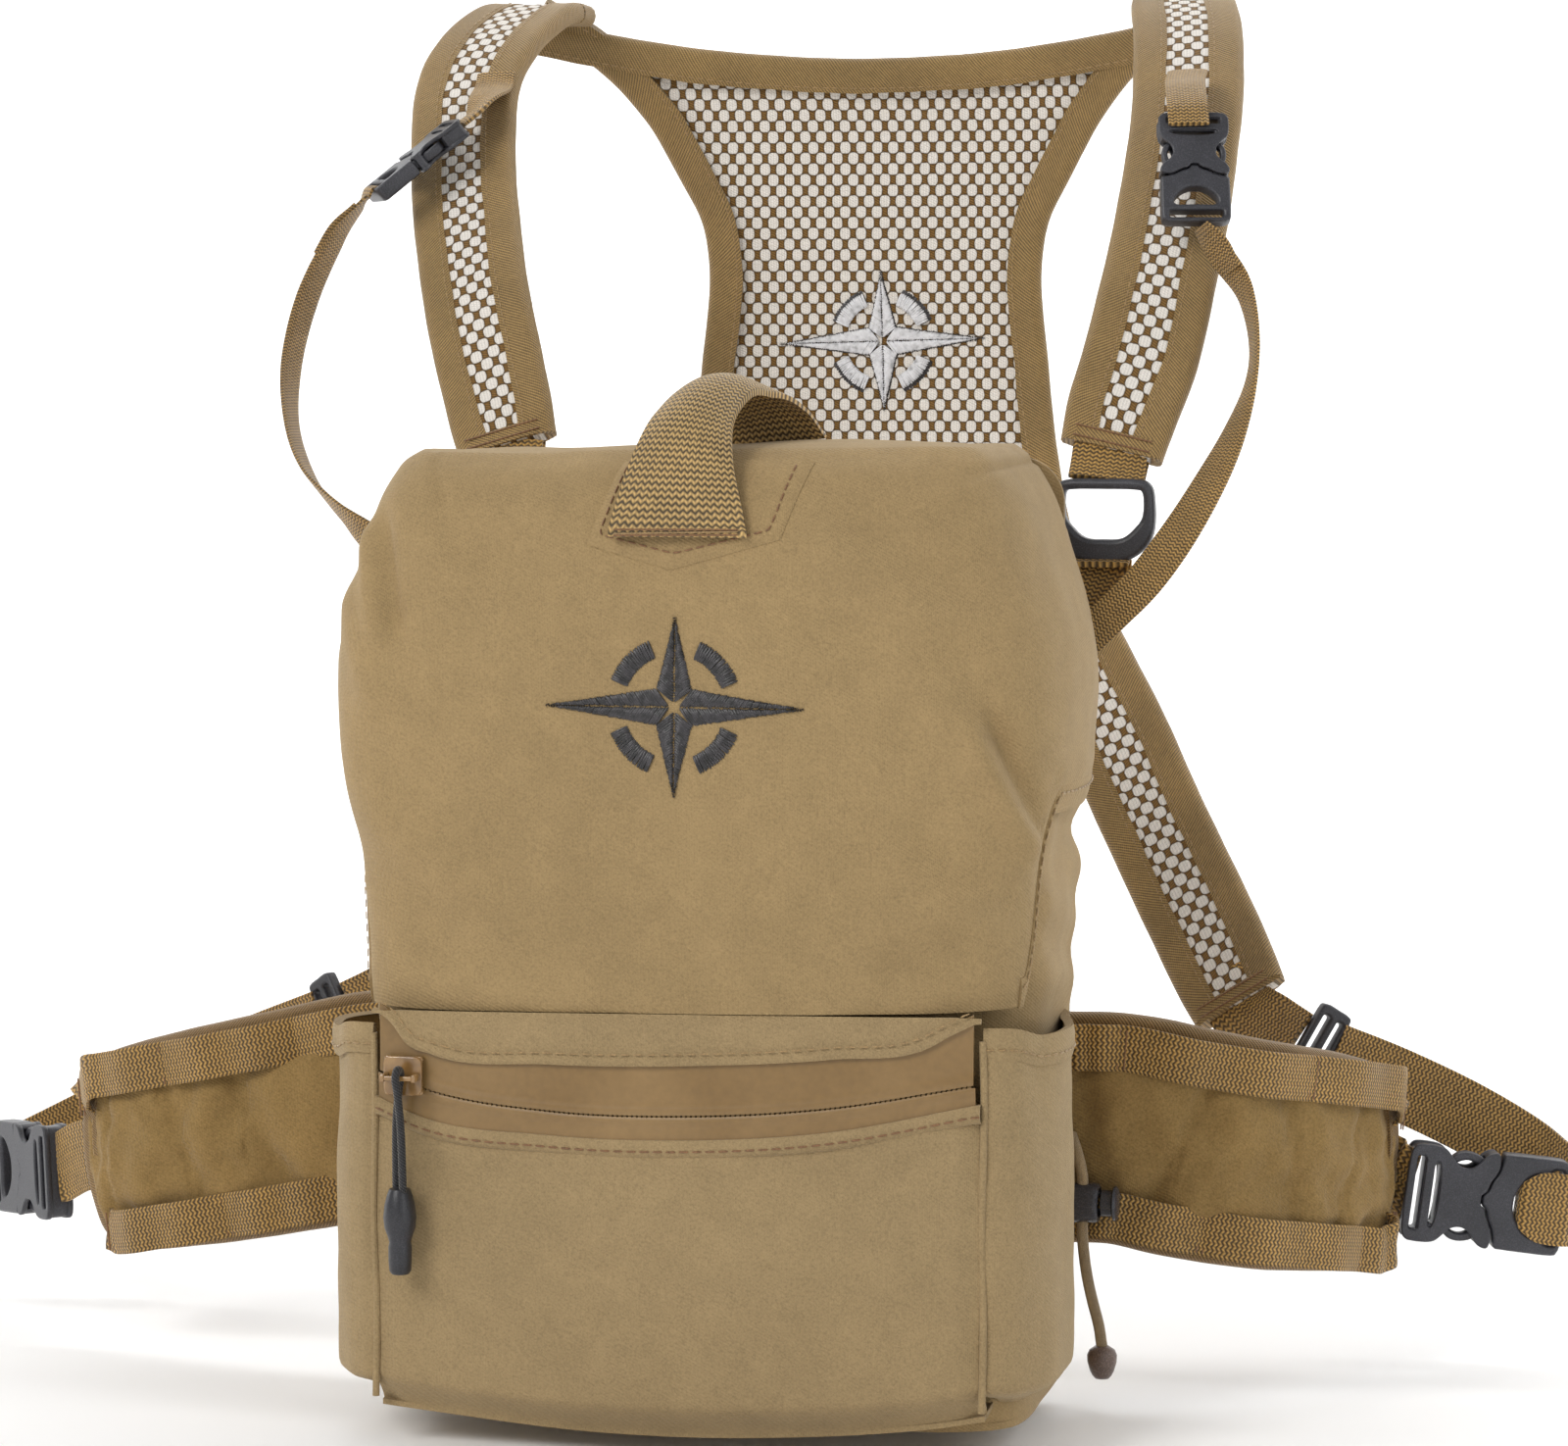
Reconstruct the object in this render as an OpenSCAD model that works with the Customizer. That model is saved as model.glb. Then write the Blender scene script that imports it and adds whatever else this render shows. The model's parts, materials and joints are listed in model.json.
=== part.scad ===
// Chest-worn harness pack with a forward-opening hood lid, a zipped front
// pocket, padded wings, a mesh yoke and buckled retention tethers.
// Frame: X to the right seen from the front, +Y towards the wearer, +Z up.
// Origin: centre of the back panel's rear face.

/* [Pouch] */
// Half width of the pouch body
pouch_hw = 84; // [78:1:86]
// Height of the pouch bottom below the origin
pouch_bottom = -126; // [-134:1:-120]
// Height of the pouch rim above the origin
pouch_top = 92; // [80:1:100]
// Depth of the main compartment from the wearer side
pouch_depth = 78; // [70:1:80]
// Thickness of the softshell walls
shell_t = 2; // [1:0.5:2]
// Thickness of the foam liner
foam_t = 3; // [2:0.5:4]
// Height of the raised chest pad over the back panel's sewing rim
pad_t = 2; // [1.8:0.1:2.5]
// Width of the chest pad
pad_w = 136; // [120:1:138]
// Height of the chest pad
pad_h = 232; // [220:1:236]

/* [Front pocket] */
// Half width of the front pocket
pocket_hw = 76; // [70:1:78]
// Height of the pocket top
pocket_top = -21; // [-24:1:-20]
// Height of the zip line
zip_z = -37; // [-40:1:-36]
// Half length of the zip
zip_hl = 74; // [66:1:75]

/* [Lid] */
// Half width of the hood at its widest
lid_hw = 96; // [94:1:99]
// Height of the hood top
lid_top = 122; // [118:1:126]
// Height of the hood's lower side edge
lid_side = 31; // [20:1:45]

/* [Buckles] */
// Size factor of the waist buckles (1 = for 20 mm webbing)
waist_s = 1; // [0.9:0.05:1]
// Size factor of the tether buckles
tether_s = 0.7; // [0.6:0.05:0.75]

/* [Webbing] */
// Width of the waist webbing
web_w = 20; // [16:1:20]
// Width of the tether webbing
tether_w = 10; // [8:1:11]
// Width of the padded mesh straps
strap_w = 29; // [24:1:30]

/* [Hidden] */
$fn = 32;

tan_c = "#9b8059"; web_c = "#8a6a35"; black_c = "#33353a"; mesh_c = "#d8cdb8"; bind_c = "#7f6438";

// ---- routes: hand-set points, each with the direction of the strap's width ----
wing_r = [[84,1,-61],[100,1,-61],[118,5,-65],[136,14,-69],[151,30,-73],[160,47,-77],[164,60,-80]];
wing_l = [[-84,1,-61],[-104,1,-61],[-126,2,-66],[-148,4,-71],[-170,8,-76],[-186,14,-80],[-197,21,-82]];
wing_wid = [60,60,60,59,57,54,46];
tabr_p = [[164.8,63,-80.5],[167.5,62,-82],[169.5,61,-83.5]];
tabl_p = [[-198.2,22,-82.5],[-204,25,-84.5],[-210.2,29,-88]];
// waist buckles: position of the mating plane, tilt and yaw of the pull axis
wb_r = [187.6,65,-87.5]; wb_r_a = [0,7.5,15.3];
wb_l = [-224.6,43.6,-92];  wb_l_a = [0,6,132.4];
wst_r = [[148,77,-52],[165,86,-60],[185,91,-70],[203,90,-80],[214.5,82,-87],[217,75,-91]];
wst_l = [[-148,77,-52],[-170,84,-61],[-200,90,-74],[-226,88,-87],[-242,77,-95],[-246,69,-98]];
low_r = [[44,158,92],[58,150,66],[78,132,32],[98,111,-2],[113,94,-26],[121,85,-39]];
lwb_r = [[121.6,84.4,-40],[130,79,-44.5],[137,74.5,-48]];
sho_r = [[93.6,15.5,119],[96,20,130],[100,29,146],[104,48,176],[105,76,209],[102,100,231],[97,126,243],[94,146,243.5]];
sho_l = [[-73,14.5,119],[-77,20,130],[-87,35,156],[-98,60,188],[-104.5,84,217],[-103,101,232],[-98,126,243],[-94,146,243.5]];
sho_wr = [[0.99,0.1,-0.1],[0.98,0.15,-0.1],[0.97,0.2,-0.1],[1,0.1,0],[1,0,0],[1,0,0],[1,0,0],[1,0,0]];
sho_wl = [[1,0,0.05],[1,0,0.2],[0.97,0,0.3],[0.98,0,0.15],[1,0,0.05],[1,0,0],[1,0,0],[1,0,0]];
ring_r = [93,8,101]; ring_l = [-73,8,101];
anc_r = [[92,7.5,86.6],[88,4.2,79],[84,1.2,71],[82,-0.6,62]];
anc_l = [[-75,7.5,86.6],[-76.5,4.6,80],[-77.6,0.8,71],[-78,-0.9,62]];
// tether buckles: mating plane, roll, tilt and yaw of the axis from male to female
tb_r = [112,40.5,192]; tb_r_a = [90,-68,104];
tb_l = [-112.3,53.2,196.7]; tb_l_a = [90,-38.6,30];
tet_r = [[114.3,36,178.8],[120,36.5,171],[127,36,160],[130,28,143],[126,18,124],[117,7,104],[106,1.2,87],[95.6,-1.8,76],[87.4,-2.9,68]];
tet_wr = [[0.5,-0.8,0],[0.6,-0.7,0.4],[0.4,-0.8,0.4],[0.3,-0.8,0.2],[0.5,-0.7,-0.2],[0.7,-0.4,-0.5],[0.7,0,-0.7],[0.6,0,-0.8],[0.6,0,-0.8]];
tet_l = [[-124.7,45.7,185.3],[-130.8,42.5,176.5],[-137.4,37,160],[-140,30,142],[-137,20,126],[-129,10,112],[-117,3,101],[-103,-0.5,91],[-87,-2,81]];
tet_wl = [[0.5,0.8,0],[0.5,0.7,0],[0.3,0.9,0],[0.2,0.9,0],[-0.2,0.9,0],[-0.5,0.5,0.5],[-0.6,0,0.8],[-0.6,0,0.8],[-0.6,0,0.8]];
cord_p = [[87,-5,-62],[89,-8,-66],[91,-11,-72],[91,-11,-80],[91,-11,-86],[91.4,-11,-92],[92.4,-11,-99],[94,-11,-106],[95.6,-11,-112],[96.5,-11,-118]];
han_p = [[1.5,-94.2,96],[1.5,-94.2,108],[2,-93,121],[3,-86,133],[5,-73,140],[8,-58,139],[11,-47,132],[13,-41,124.5]];
han_w = [32,26,20,18,18,18,20,24];

// ---- curve and sweep helpers ----
function cr1(a,b,c,d,t) = 0.5*((2*b)+(c-a)*t+(2*a-5*b+4*c-d)*t*t+(3*b-a-3*c+d)*t*t*t);
function at(p,i) = p[max(0,min(len(p)-1,i))];
// value of the spline through p at parameter s from 0 to 1
function sp(p,s) = let(u=s*(len(p)-1), i=min(floor(u),len(p)-2), t=u-i)
  cr1(i==0?2*p[0]-p[1]:p[i-1], p[i], p[i+1], i+2>len(p)-1?2*p[len(p)-1]-p[len(p)-2]:p[i+2], t);
function unit(v) = v/norm(v);
function tang(p,s) = unit(sp(p,min(1,s+0.01))-sp(p,max(0,s-0.01)));
function perp(w,t) = unit(w-(w*t)*t);
// closed solid from two grids of points with the same layout
module grid_solid(A,B) {
  nr=len(A); nc=len(A[0]);
  pts=[for(r=A) for(q=r) q, for(r=B) for(q=r) q];
  n=nr*nc;
  function a(i,j)=i*nc+j; function b(i,j)=n+i*nc+j;
  f=[for(i=[0:nr-2]) for(j=[0:nc-2]) each [[a(i,j),a(i+1,j),a(i+1,j+1)],[a(i,j),a(i+1,j+1),a(i,j+1)]],
     for(i=[0:nr-2]) for(j=[0:nc-2]) each [[b(i,j),b(i+1,j+1),b(i+1,j)],[b(i,j),b(i,j+1),b(i+1,j+1)]],
     for(i=[0:nr-2]) each [[a(i,0),b(i,0),b(i+1,0)],[a(i,0),b(i+1,0),a(i+1,0)]],
     for(i=[0:nr-2]) each [[a(i,nc-1),b(i+1,nc-1),b(i,nc-1)],[a(i,nc-1),a(i+1,nc-1),b(i+1,nc-1)]],
     for(j=[0:nc-2]) each [[a(0,j),b(0,j+1),b(0,j)],[a(0,j),a(0,j+1),b(0,j+1)]],
     for(j=[0:nc-2]) each [[a(nr-1,j),b(nr-1,j),b(nr-1,j+1)],[a(nr-1,j),b(nr-1,j+1),a(nr-1,j+1)]]];
  polyhedron(points=pts, faces=f, convexity=6);
}
// flat strap swept along p: ww width directions, w widths, t thickness,
// off shift across the thickness, woff shift across the width, s0..s1 part of the route
module ribbon(p,ww,w,t,n=14,off=0,woff=0,s0=0,s1=1) {
  ws = is_list(w) ? w : [w,w];
  wd = is_list(ww[0]) ? ww : [ww,ww];
  fr=[for(k=[0:n]) let(s=s0+(s1-s0)*k/n, c=sp(p,s), T=tang(p,s), W=perp(sp(wd,s),T), N=cross(T,W), h=sp(ws,s)/2)
      [c+W*(woff-h)+N*(off+t/2), c+W*(woff+h)+N*(off+t/2), c+W*(woff-h)+N*(off-t/2), c+W*(woff+h)+N*(off-t/2)]];
  grid_solid([for(q=fr)[q[0],q[1]]],[for(q=fr)[q[2],q[3]]]);
}
// round cord swept along p
module tube(p,r,n,m=8) {
  fr=[for(k=[0:n]) let(s=k/n,c=sp(p,s),T=tang(p,s),W=perp(abs(T[1])<0.9?[0,1,0]:[1,0,0],T),N=cross(T,W))
      [for(j=[0:m-1]) c+W*r*cos(360*j/m)+N*r*sin(360*j/m)]];
  pts=[for(q=fr) each q];
  f=[for(k=[0:n-1]) for(j=[0:m-1]) let(a=k*m+j,b=k*m+(j+1)%m,c=a+m,d=b+m) each [[a,b,d],[a,d,c]],
     [for(j=[m-1:-1:0]) j],[for(j=[0:m-1]) n*m+j]];
  polyhedron(points=pts, faces=f, convexity=4);
}
// loft through closed rings with equal point counts
module loft(rings) {
  m=len(rings[0]); n=len(rings);
  pts=[for(q=rings) each q];
  f=[for(k=[0:n-2]) for(j=[0:m-1]) let(a=k*m+j,b=k*m+(j+1)%m,c=a+m,d=b+m) each [[a,d,b],[a,c,d]],
     [for(j=[0:m-1]) j],[for(j=[m-1:-1:0]) (n-1)*m+j]];
  polyhedron(points=pts, faces=f, convexity=6);
}
// rounded rectangle ring at height z, half width hw, y from y0 to y1
function rring(hw,y0,y1,r,z,q=5) = [for(c=[0:3]) for(k=[0:q]) let(a=90*c+90*k/q,
   cx=(c==0||c==3?1:-1)*(hw-r), cy=(c<2? y1-r : y0+r)) [cx+r*cos(a),cy+r*sin(a),z]];
module rr(w,d,r) { square([w-2*r,d],center=true); square([w,d-2*r],center=true);
  for(x=[-1,1]) for(y=[-1,1]) translate([x*(w/2-r),y*(d/2-r)]) circle(r); }
module box3(x0,x1,y0,y1,z0,z1) { translate([x0,y0,z0]) cube([x1-x0,y1-y0,z1-z0]); }

// ---- pouch ----
module back_panel() { color(tan_c) translate([0,0,-4]) {
  translate([0,-pad_t,0]) rotate([90,0,0]) linear_extrude(4-pad_t) rr(2*pouch_hw,244,12);
  rotate([90,0,0]) linear_extrude(pad_t+0.1) rr(pad_w,pad_h,10); } }
module back_stiffener() { color("dimgray") translate([0,-4,0]) rotate([90,0,0]) linear_extrude(1.5) translate([0,-6]) rr(150,228,8); }
module pouch_shell() { color(tan_c) difference() {
  union() { translate([0,0,pouch_bottom]) linear_extrude(pouch_top-pouch_bottom) difference() {
      translate([0,-(4+pouch_depth)/2]) rr(2*pouch_hw,pouch_depth-4,8);
      translate([0,-(4+pouch_depth)/2+5]) rr(2*pouch_hw-2*shell_t,pouch_depth-4-2*shell_t+10,6); }
    translate([0,0,pouch_bottom]) linear_extrude(3) translate([0,-(4+pouch_depth)/2]) rr(2*pouch_hw,pouch_depth-4,8); }
  box3(-100,100,-4,10,-200,200); } }
module pouch_foam_liner() { iw=pouch_hw-shell_t-0.1; color("#6b6456") translate([0,0,pouch_bottom+3])
  difference() {
    box3(-iw,iw,-pouch_depth+shell_t+6,-5.6,0,pouch_top-pouch_bottom-6);
    box3(-iw+foam_t,iw-foam_t,-pouch_depth+shell_t+6+foam_t,-5.6-foam_t,foam_t,400); } }
module front_pocket_shell() { color(tan_c) difference() {
  translate([0,0,pouch_bottom-1]) linear_extrude(pocket_top-pouch_bottom+1) difference() { translate([0,-86]) rr(2*pocket_hw,15.6,5); translate([0,-86]) rr(2*pocket_hw-4,11.6,3.5); }
  box3(-zip_hl+1,zip_hl-1,-100,-90,zip_z-2,zip_z+2); }
  color(tan_c) { translate([0,-86,pouch_bottom-1]) linear_extrude(1.6) rr(2*pocket_hw-0.6,15,4);
    translate([0,-86,pocket_top-1.6]) linear_extrude(1.6) rr(2*pocket_hw-0.6,15,4); } }
module pocket_storm_flap() { color(tan_c) box3(-pocket_hw,pocket_hw,-96,-94.4,zip_z+6,pocket_top-1.5); }
module zipper_tapes() { color("#8d7650") { box3(-zip_hl,zip_hl,-95,-93.8,zip_z+1.1,zip_z+5.5); box3(-zip_hl,zip_hl,-95,-93.8,zip_z-8,zip_z-1.1); } }
module zipper_coil() { color("#6f5a36") translate([-zip_hl,-94.5,zip_z]) rotate([0,90,0]) cylinder(r=1,h=2*zip_hl); }
module side_pocket(sx,bulge) {
  o=[[pocket_hw+0.2,-93.8],[87,-88],[pouch_hw+bulge,-74],[pouch_hw+bulge,-50],[pouch_hw+bulge*0.6,-32],[pouch_hw+0.3,-20]];
  i=[[pouch_hw+0.3,-22],[pouch_hw+bulge*0.6-1.6,-33],[pouch_hw+bulge-1.6,-51],[pouch_hw+bulge-1.6,-73],[86,-86],[pocket_hw+0.2,-91.8]];
  color(tan_c) scale([1,1,1]) mirror([sx<0?1:0,0,0]) {
    translate([0,0,pouch_bottom]) linear_extrude(-28-pouch_bottom) polygon(concat(o,i));
    translate([0,0,pouch_bottom]) linear_extrude(1.6) polygon(concat(o,[[pouch_hw+0.3,-22],[pouch_hw+0.3,-78.3],[pocket_hw+0.2,-78.3]])); } }
module side_pocket_left() { side_pocket(-1,13); }
module side_pocket_right() { side_pocket(1,11); }

// ---- wings ----
module wing_left() { color("#8f7248") ribbon(wing_l,[0,0,1],wing_wid,8,18); }
module wing_right() { color("#8f7248") ribbon(wing_r,[0,0,1],wing_wid,8,18); }
module wing_bind(p) { hw=[for(w=wing_wid) 2.4]; color(bind_c) {
  for(s=[-1,1]) grid_wb(p,s); } }
// binding strip along one long edge of a wing
module grid_wb(p,s) { fr=[for(k=[0:16]) let(u=k/16,c=sp(p,u),T=tang(p,u),W=perp([0,0,1],T),N=cross(T,W),h=sp(wing_wid,u)/2)
    [c+W*s*h+N*4.2, c+W*s*(h+2.2)+N*4.2, c+W*s*h-N*4.2, c+W*s*(h+2.2)-N*4.2]];
  if(s>0) grid_solid([for(q=fr)[q[0],q[1]]],[for(q=fr)[q[2],q[3]]]);
  else grid_solid([for(q=fr)[q[1],q[0]]],[for(q=fr)[q[3],q[2]]]); }
module wing_binding_left() { wing_bind(wing_l); }
module wing_binding_right() { wing_bind(wing_r); }
module pals(p,sg) { color(web_c) { ribbon(p,[0,0,1],12,1.6,12,off=sg*5.1,woff=22.5,s0=0.03,s1=0.86); ribbon(p,[0,0,1],12,1.6,12,off=sg*5.1,woff=-22.5,s0=0.03,s1=0.86); } }
module pals_webbing_left() { pals(wing_l,-1); }
module pals_webbing_right() { pals(wing_r,1); }
module wing_tab_left() { color(web_c) ribbon(tabl_p,[0,0,1],web_w,1.8,6); }
module wing_tab_right() { color(web_c) ribbon(tabr_p,[0,0,1],web_w,1.8,6); }

// ---- side-release buckle, pull axis X, width Z, thickness Y ----
module buckle_male(s) { color(black_c) scale(s) difference() {
  union() { translate([-9.6,0,0]) rotate([90,0,0]) linear_extrude(5,center=true) rr(18.8,27,3);
    for(q=[-1,1]) translate([0,0,q*9.6]) rotate([90,0,0]) linear_extrude(4,center=true) polygon([[-3,-1.8],[13,-1.4],[17,0],[13,1.6],[-3,1.8]]);
    box3(-3,15,-1.6,1.6,-2,2); }
  translate([-15.4,0,0]) cube([3.2,20,21],center=true);
  translate([-7.4,0,0]) rotate([90,0,0]) cylinder(r=2.6,h=20,center=true);
  box3(-9,-5.8,-10,10,-8,8); } }
module buckle_female(s) { color(black_c) scale(s) difference() {
  translate([13.2,0,0]) rotate([90,0,0]) linear_extrude(8,center=true) rr(25.6,27,3.5);
  box3(-1,19,-2.4,2.4,-11.9,11.9);
  for(q=[-1,1]) translate([11,0,q*14]) cube([12,4.8,8],center=true);
  box3(21,24,-10,10,-10.4,10.4); } }
// the female half is sewn to the wing; the male half is on the strap
module waist_half() { translate([7*waist_s,0,0]) rotate([0,180,0]) children(); }
module waist_buckle_male_left() { translate(wb_l) rotate(wb_l_a) waist_half() buckle_male(waist_s); }
module waist_buckle_male_right() { translate(wb_r) rotate(wb_r_a) waist_half() buckle_male(waist_s); }
module waist_buckle_female_left() { translate(wb_l) rotate(wb_l_a) waist_half() buckle_female(waist_s); }
module waist_buckle_female_right() { translate(wb_r) rotate(wb_r_a) waist_half() buckle_female(waist_s); }
module waist_strap_left() { color(web_c) ribbon(wst_l,[0,0,1],web_w,1.8,18); }
module waist_strap_right() { color(web_c) ribbon(wst_r,[0,0,1],web_w,1.8,18); }

// ---- lower straps ----
function mx(p)=[for(q=p)[-q[0],q[1],q[2]]];
low_w = [[0.75,0.1,0.66],[0.8,0,0.6],[0.85,0.1,0.55],[0.8,0.1,0.55],[0.75,0.1,0.6],[0.7,0.1,0.7]];
module lower_strap_right() { color(bind_c) ribbon(low_r,low_w,[24,27,strap_w,strap_w,strap_w,27],5,16); }
module lower_strap_left() { mirror([1,0,0]) lower_strap_right(); }
module lower_webbing_right() { color(web_c) ribbon(lwb_r,[0.6,0.1,0.75],web_w,1.8,6); }
module lower_webbing_left() { mirror([1,0,0]) lower_webbing_right(); }
module ladder_lock_right() { color(black_c) translate([142.6,75.6,-50.2]) rotate([0,32,30]) rotate([90,0,0]) linear_extrude(3.6,center=true) difference() {
   rr(9.6,27,2); translate([-2.2,0]) square([2.2,21],center=true); translate([2.2,0]) square([2.2,21],center=true); } }
module ladder_lock_left() { mirror([1,0,0]) ladder_lock_right(); }

// ---- yoke ----
yk_z=[66,90,116,142,165,182,196,215,230,243];
yk_h=[70,60,55,52,50,52,59,70,84,104];
function yhw(v)=sp(yk_h,v);
function ypt(u,v,dy)=let(h=yhw(v),x=u*h,zb=sp(yk_z,v),z=zb-(1-u*u)*(v>0.7?13*(v-0.7)/0.3:0)+(1-u*u)*(v<0.3?26*(0.3-v)/0.3:0)) [x,165-0.0016*x*x+dy-(v>0.75?(v-0.75)*24:0),z];
module ysheet(u0,u1,v0,v1,nu,nv,t) { grid_solid(
  [for(i=[0:nv])[for(j=[0:nu]) ypt(u0+(u1-u0)*j/nu,v0+(v1-v0)*i/nv,-t/2)]],
  [for(i=[0:nv])[for(j=[0:nu]) ypt(u0+(u1-u0)*j/nu,v0+(v1-v0)*i/nv,t/2)]]); }
module yoke_mesh() { color(mesh_c) ysheet(-0.9,0.9,0.03,0.96,18,20,4); }
module yoke_binding() { color(bind_c) { ysheet(-1,-0.903,0.0,1,1,20,5.4); ysheet(0.903,1,0.0,1,1,20,5.4);
  ysheet(-0.902,0.902,0.965,1,16,1,5.4); } }

// ---- shoulder straps ----
module shoulder_strap_left() { color(bind_c) ribbon(sho_l,sho_wl,[26,28,strap_w,strap_w,strap_w,strap_w,28,26],5.5,24); }
module shoulder_strap_right() { color(bind_c) ribbon(sho_r,sho_wr,[26,28,strap_w,strap_w,strap_w,strap_w,28,26],5.5,24); }
module strap_end_webbing_left() { color(web_c) ribbon([[-73,13.2,117.4],[-73,11.2,115],[-73,9.5,112.6]],[1,0,0],20,1.8,4); }
module strap_end_webbing_right() { color(web_c) ribbon([[93.4,14.2,117.4],[93.2,12,115],[93,9.5,112.6]],[1,0,0],20,1.8,4); }
module adjuster(p) { color(black_c) translate(p) rotate([90,0,0]) linear_extrude(4,center=true) difference() { rr(27,22,8); rr(20,14,5); } }
module shoulder_adjuster_left() { adjuster(ring_l); }
module shoulder_adjuster_right() { adjuster(ring_r); }
module anchor_webbing_left() { color(web_c) ribbon(anc_l,[1,0,0],16,1.8,8); }
module anchor_webbing_right() { color(web_c) ribbon(anc_r,[1,0,0.3],16,1.8,8); }

// ---- tethers ----
module tether_buckle_female_left() { translate(tb_l) rotate(tb_l_a) buckle_female(tether_s); }
module tether_buckle_female_right() { translate(tb_r) rotate(tb_r_a) buckle_female(tether_s); }
module tether_buckle_male_left() { translate(tb_l) rotate(tb_l_a) buckle_male(tether_s); }
module tether_buckle_male_right() { translate(tb_r) rotate(tb_r_a) buckle_male(tether_s); }
tab_l = [[-99.4,60.6,208.6],[-95.4,63,212.3],[-94.5,70,216.6],[-95.5,81.4,220],[-96,86,224]];
module tether_tab_left() { color(web_c) ribbon(tab_l,[[0.5,-0.87,0],[0.5,-0.87,0],[0.8,-0.5,0],[1,0,0],[1,0,0]],11,1.5,12); }
module tether_tab_right() { color(web_c) translate(tb_r) rotate(tb_r_a) box3(18.4,26,-1,1,-5.5,5.5); }
module tether_webbing_left() { color(web_c) ribbon(tet_l,tet_wl,tether_w,1.5,24); }
module tether_webbing_right() { color(web_c) ribbon(tet_r,tet_wr,tether_w,1.5,24); }

// ---- cord lock and elastic cord ----
cl = [91,-11,-79];
module cord_lock_body() { color(black_c) translate(cl) difference() {
  rotate([0,90,0]) translate([0,0,-6.4]) cylinder(r=5.2,h=11);
  rotate([0,90,0]) translate([0,0,-5.2]) cylinder(r=4,h=20);
  cylinder(r=2,h=30,center=true); } }
module cord_lock_button() { color(black_c) translate(cl) difference() {
  rotate([0,90,0]) { translate([0,0,-1.4]) cylinder(r=3.8,h=9.4); translate([0,0,8]) cylinder(r=4.6,h=1.4); }
  translate([1.8,0,0]) cube([7.6,4,30],center=true); } }
module cord_lock_spring() { color("silver") translate(cl) rotate([0,90,0]) translate([0,0,-5.1]) rotate_extrude() translate([2.6,0]) square([0.8,3.5]); }
module elastic_cord() { color("#a58a5c") tube(cord_p,1.5,18,8); }
module cord_end() { color("#5a4630") translate([96.5,-11,-126]) { cylinder(r1=4,r2=2.6,h=8); } }

// ---- lid ----
function lring(d,z,hw,y0,y1,r)=rring(hw-d,y0+d,y1-(d>0?-1:0)*0,r,z);
module hood(d,zt) { loft([ rring(lid_hw-2-d,-92+d,-6,max(4,24-d),lid_side),
  rring(lid_hw-d,-92+d,-6,max(4,24-d),58), rring(lid_hw-2-d,-92+d,-6,max(4,24-d),86),
  rring(lid_hw-8-d,-91+d,-7,max(4,22-d),106), rring(lid_hw-13-d,-87+d,-8,max(4,20-d),117-d/2), rring(lid_hw-20-d,-82+d,-10,max(4,18-d),zt) ]); }
module skirt(d,z0) { loft([ rring(lid_hw-11-d,-92+d,-20,max(4,24-d),z0), rring(lid_hw-6-d,-92+d,-20,max(4,24-d),6), rring(lid_hw-2-d,-92+d,-20,max(4,24-d),lid_side+0.01) ]); }
module hood_cut(d,zt) { loft([ rring(lid_hw-2-d,-92+d,6,max(4,24-d),lid_side-1),
  rring(lid_hw-d,-92+d,6,max(4,24-d),58), rring(lid_hw-2-d,-92+d,6,max(4,24-d),86),
  rring(lid_hw-8-d,-91+d,6,max(4,22-d),106), rring(lid_hw-13-d,-87+d,6,max(4,20-d),117-d/2), rring(lid_hw-20-d,-82+d,6,max(4,18-d),zt) ]); }
module skirt_cut(d,z0) { loft([ rring(lid_hw-11-d,-92+d,6,max(4,24-d),z0), rring(lid_hw-6-d,-92+d,6,max(4,24-d),6), rring(lid_hw-2-d,-92+d,6,max(4,24-d),lid_side+0.02) ]); }
module lid_layer(d0,d1) { difference() {
  union() { hood(d0,lid_top-d0); difference() { skirt(d0,-18.5+d0); box3(-150,150,-70,50,-60,lid_side); } }
  hood_cut(d1,lid_top-d1); translate([0,0,0]) skirt_cut(d1,-30); } }
module lid_shell() { color(tan_c) { lid_layer(0,2);
  translate([-74,0,0]) rotate([90,0,90]) linear_extrude(148) polygon([[-94,-20.85],[-94,-20.15],[-91.2,-17.6],[-90.3,-18.4],[-91.4,-19]]);
  translate([-74,-94,-20.5]) rotate([0,90,0]) cylinder(r=0.45,h=148); } }
module lid_lining() { color("#85714d") lid_layer(2.05,3.4); }
module handle_patch() { color(tan_c) translate([0,-92.05,0]) rotate([90,0,0]) linear_extrude(0.9) polygon([[-14,106],[-20,98],[-2,92],[22,99],[28,106]]); }
module pull_handle() { color(web_c) ribbon(han_p,[1,0,0],han_w,1.6,18); }

// ---- zip slider and pull ----
sl = [-zip_hl+4,0,zip_z];
module zipper_slider() { color("#8a6d3d") translate(sl) {
  box3(-5,5,-98.6,-97,-5,5); for(z=[-1,1]) box3(-5,5,-97.2,-95.6,z>0?3.6:-5,z>0?5:-3.6);
  translate([-4,-102.2,0]) rotate([0,90,0]) cylinder(r=0.75,h=8);
  for(x=[-1,1]) box3(x>0?3.4:-4.6,x>0?4.6:-3.4,-103,-98.5,-1,1); } }
pp=[[0,-99.95,-28],[0,-99.95,-14],[0,-99.95,-4],[0,-99.95,0],[0,-101,2.1],[0,-103.4,2.1],[0,-104.6,0],[0,-104.6,-4],[0,-104.4,-14],[0,-103.4,-28]];
module zip_pull_cord() { color("black") translate(sl) tube([for(q=pp) q],1.2,30,8); }
module zip_pull_sleeve() { color("#222426") translate([sl[0],-101.4,zip_z-50]) { cylinder(r=3.4,h=10); translate([0,0,10]) cylinder(r=3.4,h=11.9); } }

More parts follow.
